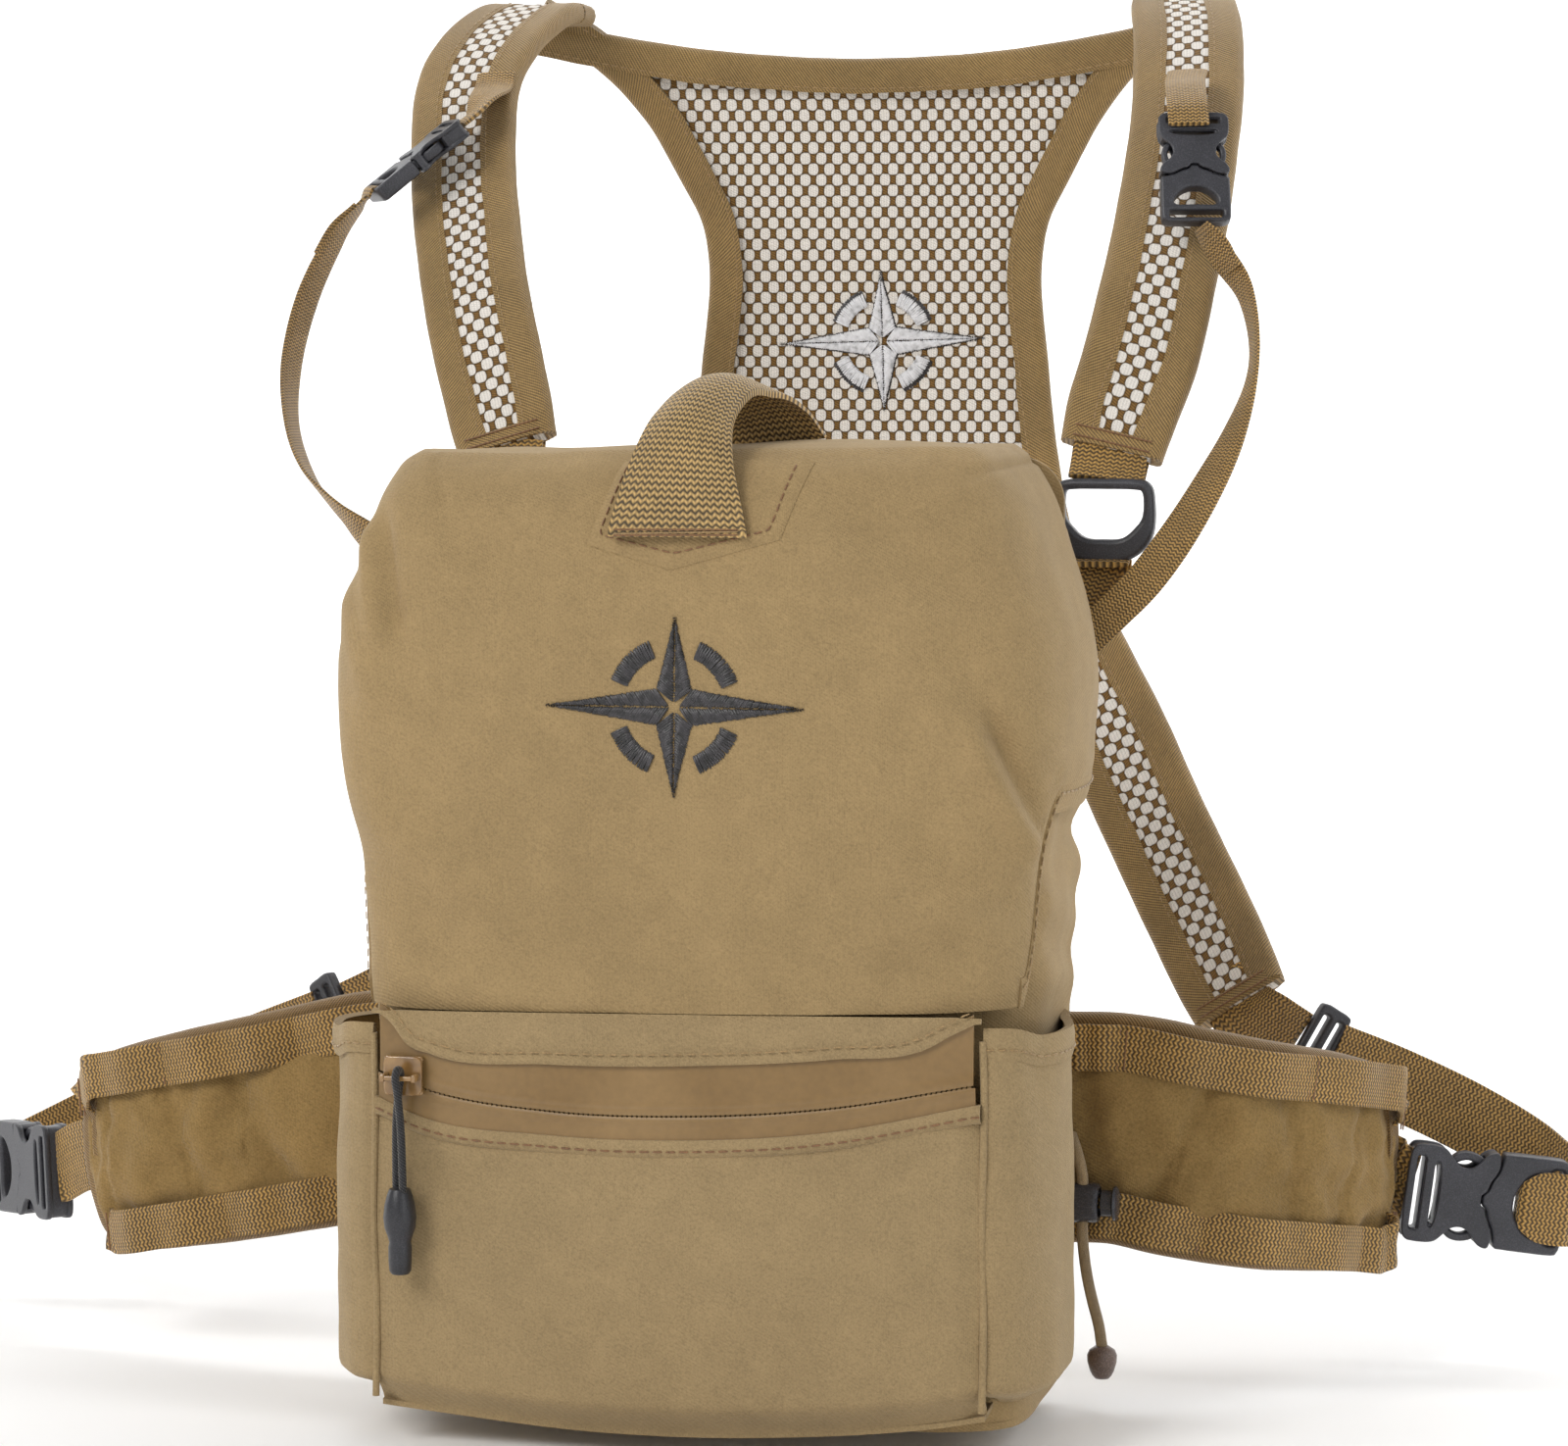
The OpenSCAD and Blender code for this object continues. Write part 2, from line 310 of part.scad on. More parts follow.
back_panel();
back_stiffener();
pouch_shell();
pouch_foam_liner();
front_pocket_shell();
pocket_storm_flap();
zipper_tapes();
zipper_coil();
side_pocket_left();
side_pocket_right();
wing_left();
wing_right();
wing_binding_left();
wing_binding_right();
pals_webbing_left();
pals_webbing_right();
wing_tab_left();
wing_tab_right();
waist_buckle_male_left();
waist_buckle_male_right();
waist_strap_left();
waist_strap_right();
ladder_lock_left();
ladder_lock_right();
lower_strap_left();
lower_strap_right();
lower_webbing_left();
lower_webbing_right();
yoke_mesh();
yoke_binding();
shoulder_strap_left();
shoulder_strap_right();
strap_end_webbing_left();
strap_end_webbing_right();
shoulder_adjuster_left();
shoulder_adjuster_right();
anchor_webbing_left();
anchor_webbing_right();
tether_tab_left();
tether_tab_right();
tether_buckle_female_left();
tether_buckle_female_right();
tether_webbing_left();
tether_webbing_right();
cord_lock_body();
cord_lock_spring();
elastic_cord();
cord_end();
lid_shell();
lid_lining();
pull_handle();
handle_patch();
zipper_slider();
zip_pull_cord();
zip_pull_sleeve();
waist_buckle_female_left();
waist_buckle_female_right();
tether_buckle_male_left();
tether_buckle_male_right();
cord_lock_button();
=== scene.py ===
import math
import bpy, bmesh
import numpy as np
from mathutils import Vector, Matrix, noise
from mathutils.bvhtree import BVHTree
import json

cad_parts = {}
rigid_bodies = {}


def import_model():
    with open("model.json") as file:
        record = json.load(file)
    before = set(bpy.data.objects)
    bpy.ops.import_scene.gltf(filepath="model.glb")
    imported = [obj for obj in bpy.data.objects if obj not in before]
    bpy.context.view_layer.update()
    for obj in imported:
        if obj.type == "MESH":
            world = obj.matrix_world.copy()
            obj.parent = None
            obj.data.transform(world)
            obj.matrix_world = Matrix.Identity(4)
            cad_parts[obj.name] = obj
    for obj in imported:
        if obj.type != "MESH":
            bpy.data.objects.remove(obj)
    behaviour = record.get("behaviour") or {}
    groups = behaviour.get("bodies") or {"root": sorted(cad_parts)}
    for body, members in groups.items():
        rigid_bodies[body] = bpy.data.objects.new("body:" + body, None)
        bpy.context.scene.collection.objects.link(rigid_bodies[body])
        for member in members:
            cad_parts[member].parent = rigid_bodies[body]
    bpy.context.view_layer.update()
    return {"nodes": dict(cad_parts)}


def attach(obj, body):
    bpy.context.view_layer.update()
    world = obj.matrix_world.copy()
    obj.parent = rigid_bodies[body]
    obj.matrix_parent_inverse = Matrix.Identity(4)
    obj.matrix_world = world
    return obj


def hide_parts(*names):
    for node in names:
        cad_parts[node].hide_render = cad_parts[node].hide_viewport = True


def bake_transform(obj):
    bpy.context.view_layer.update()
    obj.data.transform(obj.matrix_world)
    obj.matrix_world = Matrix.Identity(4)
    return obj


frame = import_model()
MM = 0.001

# ------------------------------------------------------------------ camera
PHI, ELV, DIST, OFF, ZC = math.radians(12.4), math.radians(5.0), 1.2928, 0.0074, 0.159
r_ = Vector((math.cos(PHI), math.sin(PHI), 0))
d_ = Vector((-math.sin(PHI) * math.cos(ELV), math.cos(PHI) * math.cos(ELV), -math.sin(ELV)))
u_ = r_.cross(d_)
cam_d = bpy.data.cameras.new("camera")
cam = bpy.data.objects.new("camera", cam_d)
bpy.context.scene.collection.objects.link(cam)
cam_d.sensor_width = 36.0
cam_d.lens = 4920.0 / 1600.0 * 36.0
cam_d.clip_start, cam_d.clip_end = 0.05, 30
loc = Vector((r_.x * OFF + math.sin(PHI) * DIST, r_.y * OFF - math.cos(PHI) * DIST, ZC))
cam.matrix_world = Matrix(((r_.x, u_.x, -d_.x, loc.x), (r_.y, u_.y, -d_.y, loc.y), (r_.z, u_.z, -d_.z, loc.z), (0, 0, 0, 1)))
bpy.context.scene.camera = cam

# ------------------------------------------------------------------ helpers
def arr(p):
    return np.asarray(p, float)

def cr(p, s):
    """Catmull-Rom through the rows of p at parameters s in 0..1."""
    p = arr(p)
    if p.ndim == 1:
        return cr(p[:, None], s)[:, 0]
    s = np.atleast_1d(arr(s)); n = len(p)
    u = np.clip(s, 0, 1) * (n - 1)
    i = np.minimum(np.floor(u).astype(int), n - 2); t = (u - i)[:, None]
    q = np.vstack([2 * p[0] - p[1], p, 2 * p[-1] - p[-2]])
    a, b, c, d = q[i], q[i + 1], q[i + 2], q[i + 3]
    return 0.5 * ((2 * b) + (c - a) * t + (2 * a - 5 * b + 4 * c - d) * t * t + (3 * b - a - 3 * c + d) * t ** 3)

def unit(v):
    return v / np.maximum(np.linalg.norm(v, axis=-1, keepdims=True), 1e-12)

def lerp(a, b, t):
    return a + (b - a) * t

def sstep(a, b, x):
    t = np.clip((x - a) / (b - a), 0, 1)
    return t * t * (3 - 2 * t)

def interp(x, xs, ys):
    """Smooth value through the pairs xs, ys (xs rising)."""
    x = np.clip(arr(x), xs[0], xs[-1]); xs = arr(xs); ys = arr(ys)
    i = np.clip(np.searchsorted(xs, x, side="right") - 1, 0, len(xs) - 2)
    m = np.gradient(ys, xs); h = xs[i + 1] - xs[i]; t = (x - xs[i]) / h
    return ((2 * t ** 3 - 3 * t * t + 1) * ys[i] + (t ** 3 - 2 * t * t + t) * h * m[i]
            + (-2 * t ** 3 + 3 * t * t) * ys[i + 1] + (t ** 3 - t * t) * h * m[i + 1])

def fields(P, scale, seed=0.0, octaves=1):
    """Smooth noise at each point, from -1 to 1, P in mm and scale in mm."""
    P = arr(P).reshape(-1, 3); out = np.empty(len(P))
    for k, q in enumerate(P):
        v = Vector((q[0] / scale + seed, q[1] / scale - seed * 0.7, q[2] / scale + seed * 1.3))
        out[k] = noise.noise(v) if octaves == 1 else noise.fractal(v, 0.6, 2.0, octaves)
    return out

def make(name, verts, faces, mat=None, uv=None, smooth=True, angle=42, slot=None):
    """New mesh object from points in mm."""
    me = bpy.data.meshes.new(name)
    me.from_pydata([tuple(v) for v in arr(verts) * MM], [], [tuple(int(i) for i in f) for f in faces])
    me.update()
    if uv is not None:
        lay = me.uv_layers.new(name="UVMap"); uv = arr(uv)
        idx = np.empty(len(me.loops), dtype=np.int32); me.loops.foreach_get("vertex_index", idx)
        lay.data.foreach_set("uv", uv[idx].astype(np.float32).ravel())
    if smooth:
        me.polygons.foreach_set("use_smooth", [True] * len(me.polygons))
        me.set_sharp_from_angle(angle=math.radians(angle))
    ob = bpy.data.objects.new(name, me)
    bpy.context.scene.collection.objects.link(ob)
    if mat:
        me.materials.append(mat)
    return ob

def finish_piece(ob, body, nodes=()):
    if body == "lid_cloth":     # cloth sewn down at the lid's seam: its transform is baked into the mesh and it is given no parent body
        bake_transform(ob)
    else:
        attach(ob, body)
    if nodes:
        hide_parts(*nodes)
    return ob

def grid_faces(nr, nc, flip=False, off=0):
    f = []
    for i in range(nr - 1):
        for j in range(nc - 1):
            a = off + i * nc + j
            q = (a, a + 1, a + nc + 1, a + nc)
            f.append(q[::-1] if flip else q)
    return f

def normals_grid(P):
    du = np.gradient(P, axis=1); dv = np.gradient(P, axis=0)
    return unit(np.cross(du, dv))

def slab(name, P, t, mat, uv=None, N=None, flip=False, angle=50, round_edge=True):
    """Sheet of thickness t with front face on grid P (mm); N points out of the front."""
    P = arr(P); nr, nc = P.shape[:2]
    if N is None:
        N = normals_grid(P)
        if flip:
            N = -N
    T = np.full((nr, nc, 1), float(t)) if np.isscalar(t) else arr(t).reshape(nr, nc, 1)
    A, B = P, P - N * T
    if uv is None:
        lu = np.concatenate([[0], np.cumsum(np.linalg.norm(np.diff(P[nr // 2], axis=0), axis=1))])
        lv = np.concatenate([[0], np.cumsum(np.linalg.norm(np.diff(P[:, nc // 2], axis=0), axis=1))])
        U, W = np.meshgrid(lu, lv); uv = np.stack([U, W], -1) * MM
    n = nr * nc
    f = grid_faces(nr, nc, flip) + grid_faces(nr, nc, not flip, n)
    def side(a, b):
        q = (a, b, b + n, a + n)
        f.append(q if flip else q[::-1])
    for j in range(nc - 1):
        side(j, j + 1); side((nr - 1) * nc + j + 1, (nr - 1) * nc + j)
    for i in range(nr - 1):
        side((i + 1) * nc, i * nc); side(i * nc + nc - 1, (i + 1) * nc + nc - 1)
    return make(name, np.vstack([A.reshape(-1, 3), B.reshape(-1, 3)]), f, mat, np.vstack([uv.reshape(-1, 2)] * 2), angle=angle)

def route(p, w, s):
    """Points, tangents, width directions and face normals along a strap (mm)."""
    s = np.atleast_1d(arr(s))
    c = cr(p, s); T = unit(cr(p, np.minimum(1, s + 0.01)) - cr(p, np.maximum(0, s - 0.01)))
    w = arr(w)
    W = np.tile(w, (len(s), 1)) if w.ndim == 1 else cr(w, s)
    W = unit(W - (W * T).sum(1, keepdims=True) * T)
    return c, T, W, np.cross(T, W)

def strap(name, p, w, width, t, mat, n=60, cols=6, off=0.0, woff=0.0, s0=0.0, s1=1.0, lift=None, crown=0.0, rim=0.35, uv_off=(0, 0), hand=1):
    """Closed flat strap along a route, rounded at its edges. lift moves the section along the normal."""
    s = np.linspace(s0, s1, n + 1); c, T, W, N = route(p, w, s)
    wd = np.full(n + 1, float(width)) if np.isscalar(width) else cr(width, s)
    le = np.concatenate([[0], np.cumsum(np.linalg.norm(np.diff(c, axis=0), axis=1))])
    lf = np.zeros(n + 1) if lift is None else arr(lift(s, le))
    a = np.linspace(-0.5, 0.5, cols + 1)
    th = t * (rim + (1 - rim) * (1 - np.abs(2 * a) ** 5)) * 0.5
    cw = crown * (1 - (2 * a) ** 2)
    V, UV = [], []
    for sg in (1, -1):
        q = (c[:, None] + W[:, None] * (woff + a[None, :, None] * wd[:, None, None])
             + N[:, None] * (off * 1.0 + lf[:, None] + cw[None] + sg * th[None])[..., None])
        V.append(q.reshape(-1, 3))
        UV.append(np.stack([np.repeat(le[:, None], cols + 1, 1) + uv_off[0], a[None] * wd[:, None] + uv_off[1]], -1).reshape(-1, 2) * MM)
    nc = cols + 1; m = (n + 1) * nc
    f = grid_faces(n + 1, nc, True) + grid_faces(n + 1, nc, False, m)
    for i in range(n):
        f.append((i * nc, (i + 1) * nc, (i + 1) * nc + m, i * nc + m)[::-1])
        f.append((i * nc + cols, (i + 1) * nc + cols, (i + 1) * nc + cols + m, i * nc + cols + m))
    for j in range(cols):
        f.append((j, j + 1, j + 1 + m, j + m))
        b = n * nc
        f.append((b + j, b + j + 1, b + j + 1 + m, b + j + m)[::-1])
    ob = make(name, np.vstack(V), f, mat, np.vstack(UV), angle=60)
    bm = bmesh.new(); bm.from_mesh(ob.data); bmesh.ops.recalc_face_normals(bm, faces=bm.faces); bm.to_mesh(ob.data); bm.free()
    return ob

def tube(name, pts, r, mat, m=10, n=60, closed=False):
    s = np.linspace(0, 1, n + 1); c = cr(pts, s) if not closed else arr(pts)
    n = len(c) - 1
    T = unit(np.gradient(c, axis=0)); ref = arr([0.0, 1, 0])
    V, UV = [], []; W = unit(np.cross(T[0], ref if abs(T[0][1]) < 0.9 else arr([1.0, 0, 0])))
    le = 0.0
    rr = np.full(n + 1, float(r)) if np.isscalar(r) else cr(r, np.linspace(0, 1, n + 1))
    for k in range(n + 1):
        W = unit(W - np.dot(W, T[k]) * T[k]); B = np.cross(T[k], W)
        if k:
            le += np.linalg.norm(c[k] - c[k - 1])
        for j in range(m):
            a = 2 * math.pi * j / m
            V.append(c[k] + rr[k] * (W * math.cos(a) + B * math.sin(a))); UV.append((le * MM, j / m * 2 * math.pi * rr[k] * MM))
    f = [(k * m + j, k * m + (j + 1) % m, (k + 1) * m + (j + 1) % m, (k + 1) * m + j) for k in range(n) for j in range(m)]
    f += [tuple(range(m))[::-1], tuple(n * m + j for j in range(m))]
    return make(name, V, f, mat, UV, angle=60)

def threads(name, P, N, mat, pitch=3.2, length=2.3, w=0.55, h=0.35, lift=0.12, body="root"):
    """Row of raised lock stitches along the polyline P (mm) with surface normals N."""
    P = arr(P); N = unit(arr(N)) if np.ndim(N) == 2 else np.tile(unit(arr(N)), (len(P), 1))
    le = np.concatenate([[0], np.cumsum(np.linalg.norm(np.diff(P, axis=0), axis=1))])
    V, F = [], []
    k = pitch * 0.5
    while k < le[-1] - length * 0.4:
        pts = [np.array([np.interp(k + o, le, P[:, i]) for i in range(3)]) for o in (-length / 2, 0, length / 2)]
        nn = unit(np.array([np.interp(k, le, N[:, i]) for i in range(3)])); T = unit(pts[2] - pts[0]); S = np.cross(T, nn)
        b = len(V)
        prof = [(-1, -1), (-0.9, 0.3), (-0.4, 0.9), (0.4, 0.9), (0.9, 0.3), (1, -1)]
        for q, sc in ((pts[0] - T * 0.0, 0.35), (lerp(pts[0], pts[1], 0.35), 0.95), (lerp(pts[1], pts[2], 0.65), 0.95), (pts[2], 0.35)):
            for x, y in prof:
                V.append(q + S * (x * w / 2 * sc) + nn * (lift + y * h / 2 * sc))
        m = len(prof)
        for r in range(3):
            for j in range(m):
                F.append((b + r * m + j, b + r * m + (j + 1) % m, b + (r + 1) * m + (j + 1) % m, b + (r + 1) * m + j))
        F.append(tuple(b + j for j in range(m))[::-1]); F.append(tuple(b + 3 * m + j for j in range(m)))
        k += pitch
    ob = make(name, V, F, mat, angle=50)
    bm = bmesh.new(); bm.from_mesh(ob.data); bmesh.ops.recalc_face_normals(bm, faces=bm.faces); bm.to_mesh(ob.data); bm.free()
    finish_piece(ob, body)
    return ob

def caster(ob):
    dg = bpy.context.evaluated_depsgraph_get()
    return BVHTree.FromObject(ob, dg)

def drop(tree, pts, d=(0, 1, 0), start=(0, -0.2, 0)):
    """Project points (mm) along d onto a surface; returns points and normals in mm."""
    out, nor = [], []
    d = Vector(d)
    for p in arr(pts):
        o = Vector(tuple(p * MM)) + Vector(start)
        h, n, _, _ = tree.ray_cast(o, d)
        if h is None:
            h, n, _, _ = tree.find_nearest(Vector(tuple(p * MM)))
        if n.dot(d) > 0:
            n = -n
        out.append(tuple(h / MM)); nor.append(tuple(n))
    return arr(out), arr(nor)

# ------------------------------------------------------------------ materials
class Mat:
    def __init__(self, name, rough=0.8, sheen=0.0, spec=0.5, metal=0.0, coat=0.0, coat_rough=0.1):
        self.m = bpy.data.materials.new(name); self.m.use_nodes = True
        self.t = self.m.node_tree; self.b = self.t.nodes["Principled BSDF"]
        self.b.inputs["Roughness"].default_value = rough
        self.b.inputs["Specular IOR Level"].default_value = spec
        self.b.inputs["Metallic"].default_value = metal
        if sheen:
            self.b.inputs["Sheen Weight"].default_value = sheen
            self.b.inputs["Sheen Roughness"].default_value = 0.45
            self.b.inputs["Sheen Tint"].default_value = (1.0, 0.9, 0.75, 1)
        if coat:
            self.b.inputs["Coat Weight"].default_value = coat
            self.b.inputs["Coat Roughness"].default_value = coat_rough
    def n(self, kind, **kw):
        q = self.t.nodes.new("ShaderNode" + kind)
        for k, v in kw.items():
            setattr(q, k, v)
        return q
    def link(self, a, b):
        self.t.links.new(a, b)
    def put(self, sock, v):
        if hasattr(v, "is_output") or isinstance(v, bpy.types.NodeSocket):
            self.link(v, sock)
        else:
            sock.default_value = v
    def math(self, op, a, b=0.0, c=0.0, clamp=False):
        q = self.n("Math", operation=op, use_clamp=clamp)
        self.put(q.inputs[0], a); self.put(q.inputs[1], b); self.put(q.inputs[2], c)
        return q.outputs[0]
    def obj(self):
        return self.n("TexCoord").outputs["Object"]
    def uv(self):
        q = self.n("SeparateXYZ"); u = self.n("UVMap"); u.uv_map = "UVMap"; self.link(u.outputs[0], q.inputs[0])
        return q.outputs[0], q.outputs[1]
    def xyz(self):
        q = self.n("SeparateXYZ"); self.link(self.obj(), q.inputs[0]); return q.outputs
    def noise(self, scale, detail=2.0, rough=0.5, vec=None, dist=0.0):
        q = self.n("TexNoise"); q.inputs["Scale"].default_value = scale; q.inputs["Detail"].default_value = detail
        q.inputs["Roughness"].default_value = rough; q.inputs["Distortion"].default_value = dist
        self.link(vec if vec is not None else self.obj(), q.inputs["Vector"])
        return q.outputs["Fac"]
    def ramp(self, fac, stops):
        q = self.n("ValToRGB"); e = q.color_ramp.elements
        while len(e) < len(stops):
            e.new(0.5)
        for el, (p, c) in zip(e, stops):
            el.position = p; el.color = (*c, 1)
        self.link(fac, q.inputs[0]); return q.outputs[0]
    def mix(self, fac, a, b, mode="MIX"):
        q = self.n("Mix", data_type="RGBA", blend_type=mode)
        self.put(q.inputs[0], fac)
        for s, v in ((q.inputs[6], a), (q.inputs[7], b)):
            self.put(s, (*v, 1) if isinstance(v, tuple) and len(v) == 3 else v)
        return q.outputs[2]
    def bump(self, h, dist, strength=1.0, prev=None):
        q = self.n("Bump"); q.inputs["Distance"].default_value = dist; q.inputs["Strength"].default_value = strength
        self.link(h, q.inputs["Height"])
        if prev is not None:
            self.link(prev, q.inputs["Normal"])
        return q.outputs[0]
    def out(self, color=None, normal=None, rough=None):
        if color is not None:
            self.put(self.b.inputs["Base Color"], (*color, 1) if isinstance(color, tuple) and len(color) == 3 else color)
        if normal is not None:
            self.link(normal, self.b.inputs["Normal"])
        if rough is not None:
            self.put(self.b.inputs["Roughness"], rough)
        return self.m

def rgb(r, g, b):
    f = lambda c: (c / 255 / 12.92) if c / 255 <= 0.04045 else ((c / 255 + 0.055) / 1.055) ** 2.4
    return (f(r), f(g), f(b))

def m_softshell(name, base, dark=0.93, light=1.05, grain=0.10):
    k = Mat(name, rough=0.86, sheen=0.18, spec=0.25)
    x, y, z = k.xyz()
    big = k.noise(16, 3, 0.55)
    mid = k.noise(120, 3, 0.6)
    fine = k.noise(1500, 2, 0.65)
    col = k.ramp(big, [(0.30, tuple(c * dark for c in base)), (0.52, base), (0.75, tuple(min(1, c * light) for c in base))])
    g = k.ramp(fine, [(0.25, (1 - grain * 2.0,) * 3), (0.5, (1, 1, 1)), (0.78, (1 + grain * 1.6,) * 3)])
    col = k.mix(1.0, col, g, "MULTIPLY")
    g2 = k.ramp(mid, [(0.3, (0.94,) * 3), (0.7, (1.05,) * 3)])
    col = k.mix(1.0, col, g2, "MULTIPLY")
    # fine twill: diagonal ribs at 0.9 mm with a stretch-yarn cross rib
    d = k.math("ADD", k.math("MULTIPLY", z, 7000.0), k.math("MULTIPLY", k.math("ADD", x, y), 3500.0))
    rib = k.math("SINE", d)
    rib2 = k.math("SINE", k.math("MULTIPLY", k.math("ADD", x, k.math("MULTIPLY", y, 0.8)), 9500.0))
    hgt = k.math("ADD", k.math("MULTIPLY", rib, 0.35), k.math("ADD", k.math("MULTIPLY", rib2, 0.2), k.math("MULTIPLY", fine, 1.2)))
    nb = k.bump(hgt, 0.00016, 0.7)
    nb = k.bump(mid, 0.0004, 0.35, nb)
    return k.out(col, nb)

def m_webbing(name, base, rib=1.25, cross=0.95, painted_highlight_gain=1.9, painted_shade_gain=0.30):
    k = Mat(name, rough=0.55, sheen=0.25, spec=0.45)
    u, v = k.uv()
    wob = k.math("MULTIPLY", k.math("SINE", k.math("MULTIPLY", v, 2 * math.pi * 1000 / (cross * 2))), 0.22)
    ph = k.math("ADD", k.math("MULTIPLY", u, 1000 / rib), wob)
    r = k.math("SINE", k.math("MULTIPLY", ph, 2 * math.pi))
    c = k.math("SINE", k.math("MULTIPLY", v, 2 * math.pi * 1000 / cross))
    h = k.math("ADD", k.math("MULTIPLY", r, 0.5), 0.5)
    hc = k.math("MULTIPLY", h, k.math("ADD", k.math("MULTIPLY", c, 0.22), 0.78))
    nz = k.noise(700, 2, 0.6)
    hh = k.math("ADD", hc, k.math("MULTIPLY", k.math("SUBTRACT", nz, 0.5), 0.5), clamp=True)
    # painted shade in the rib valleys and painted highlight on the rib crests: the colour follows the weave height hh
    # that also drives the bump
    col = k.ramp(hh, [(0.05, tuple(c_ * painted_shade_gain for c_ in base)), (0.45, base), (0.95, tuple(min(1, c_ * painted_highlight_gain) for c_ in base))])
    tone = k.ramp(k.noise(45, 2), [(0.3, (0.86,) * 3), (0.7, (1.1,) * 3)])
    col = k.mix(1.0, col, tone, "MULTIPLY")
    return k.out(col, k.bump(hh, 0.00032, 0.9))

def m_twill(name, base, pitch=0.95, painted_highlight_gain=1.6, painted_shade_gain=0.42):
    k = Mat(name, rough=0.6, sheen=0.25, spec=0.4)
    u, v = k.uv()
    d = k.math("SINE", k.math("MULTIPLY", k.math("ADD", u, k.math("MULTIPLY", v, 0.75)), 2 * math.pi * 1000 / pitch))
    e = k.math("SINE", k.math("MULTIPLY", k.math("SUBTRACT", v, k.math("MULTIPLY", u, 0.3)), 2 * math.pi * 1000 / 0.6))
    h = k.math("ADD", k.math("MULTIPLY", d, 0.36), k.math("ADD", k.math("MULTIPLY", e, 0.12), 0.5))
    nz = k.noise(800, 2, 0.6)
    hh = k.math("ADD", h, k.math("MULTIPLY", k.math("SUBTRACT", nz, 0.5), 0.45), clamp=True)
    # painted shade in the twill valleys and painted highlight on the twill crests: the colour follows the weave height
    # hh that also drives the bump
    col = k.ramp(hh, [(0.08, tuple(c * painted_shade_gain for c in base)), (0.5, base), (0.95, tuple(min(1, c * painted_highlight_gain) for c in base))])
    tone = k.ramp(k.noise(40, 2), [(0.3, (0.85,) * 3), (0.7, (1.1,) * 3)])
    col = k.mix(1.0, col, tone, "MULTIPLY")
    return k.out(col, k.bump(hh, 0.00024, 0.8))

def m_mesh(name, white, brown, px=4.85, py=3.2, hw=1.55, hh=1.75):
    """Spacer mesh: pale knit cells in offset rows on a brown net; u across, v along, in metres."""
    k = Mat(name, rough=0.75, sheen=0.2, spec=0.3)
    u, v = k.uv()
    U, W = k.math("MULTIPLY", u, 1000.0), k.math("MULTIPLY", v, 1000.0)
    def cell(ox, oy):
        a = k.math("SUBTRACT", k.math("FLOORED_MODULO", k.math("ADD", U, ox + px / 2), px), px / 2)
        b = k.math("SUBTRACT", k.math("FLOORED_MODULO", k.math("ADD", W, oy + py), 2 * py), py)
        a2 = k.math("POWER", k.math("DIVIDE", k.math("ABSOLUTE", a), hw), 3.2)
        b2 = k.math("POWER", k.math("DIVIDE", k.math("ABSOLUTE", b), hh), 2.6)
        return k.math("ADD", a2, b2), a
    d1, a1 = cell(0, 0); d2, a2 = cell(px / 2, py)
    nz = k.math("MULTIPLY", k.math("SUBTRACT", k.noise(900, 2, 0.6), 0.5), 0.55)
    d = k.math("ADD", k.math("MINIMUM", d1, d2), nz)
    q = k.n("MapRange"); q.interpolation_type = "SMOOTHSTEP"
    for i, val in ((1, 0.75), (2, 1.25), (3, 1.0), (4, 0.0)):
        q.inputs[i].default_value = val
    k.link(d, q.inputs[0]); inside = q.outputs[0]
    knit = k.math("SINE", k.math("MULTIPLY", U, 2 * math.pi / 0.8))
    kn = k.math("ADD", k.math("MULTIPLY", knit, 0.5), 0.5)
    wcol = k.mix(kn, tuple(c * 0.84 for c in white), white)
    bk = k.math("SINE", k.math("ADD", k.math("MULTIPLY", W, 2 * math.pi / 0.75), k.math("MULTIPLY", U, 4.0)))
    bcol = k.mix(k.math("ADD", k.math("MULTIPLY", bk, 0.5), 0.5), tuple(c * 0.6 for c in brown), tuple(c * 1.35 for c in brown))
    # painted shade: the net darkens next to each cell, where it meets the sunken cell
    e = k.n("MapRange"); e.interpolation_type = "SMOOTHSTEP"
    for i, val in ((1, 1.0), (2, 2.4), (3, 0.45), (4, 1.0)):
        e.inputs[i].default_value = val
    k.link(d, e.inputs[0])
    painted_rim_shade = k.n("CombineColor"); [k.link(e.outputs[0], painted_rim_shade.inputs[i]) for i in range(3)]
    bcol = k.mix(1.0, bcol, painted_rim_shade.outputs[0], "MULTIPLY")
    col = k.mix(inside, bcol, wcol)
    h = k.math("SUBTRACT", k.math("MULTIPLY", k.math("ADD", bk, 1.0), 0.15), k.math("MULTIPLY", inside, 0.9))
    h = k.math("ADD", h, k.math("MULTIPLY", kn, 0.12))
    return k.out(col, k.bump(h, 0.0006, 0.8))

def m_plastic(name, base=(0.028, 0.028, 0.034), rough=0.42, grain=0.00009):
    k = Mat(name, rough=rough, spec=0.5)
    fine = k.noise(2600, 2, 0.7); big = k.noise(60, 3)
    col = k.ramp(big, [(0.3, tuple(c * 0.75 for c in base)), (0.7, tuple(c * 1.35 for c in base))])
    sp = k.ramp(fine, [(0.35, (0.8,) * 3), (0.5, (1, 1, 1)), (0.72, (1.9,) * 3)])
    col = k.mix(1.0, col, sp, "MULTIPLY")
    rr = k.n("MapRange"); k.link(big, rr.inputs[0]); rr.inputs[3].default_value = rough - 0.06; rr.inputs[4].default_value = rough + 0.12
    return k.out(col, k.bump(fine, grain, 0.6), rr.outputs[0])

def m_thread(name, base, rough=0.5):
    k = Mat(name, rough=rough, sheen=0.3, spec=0.5)
    nz = k.noise(1800, 2, 0.6)
    col = k.ramp(nz, [(0.3, tuple(c * 0.65 for c in base)), (0.7, tuple(min(1, c * 1.35) for c in base))])
    return k.out(col, k.bump(nz, 0.0001, 0.5))

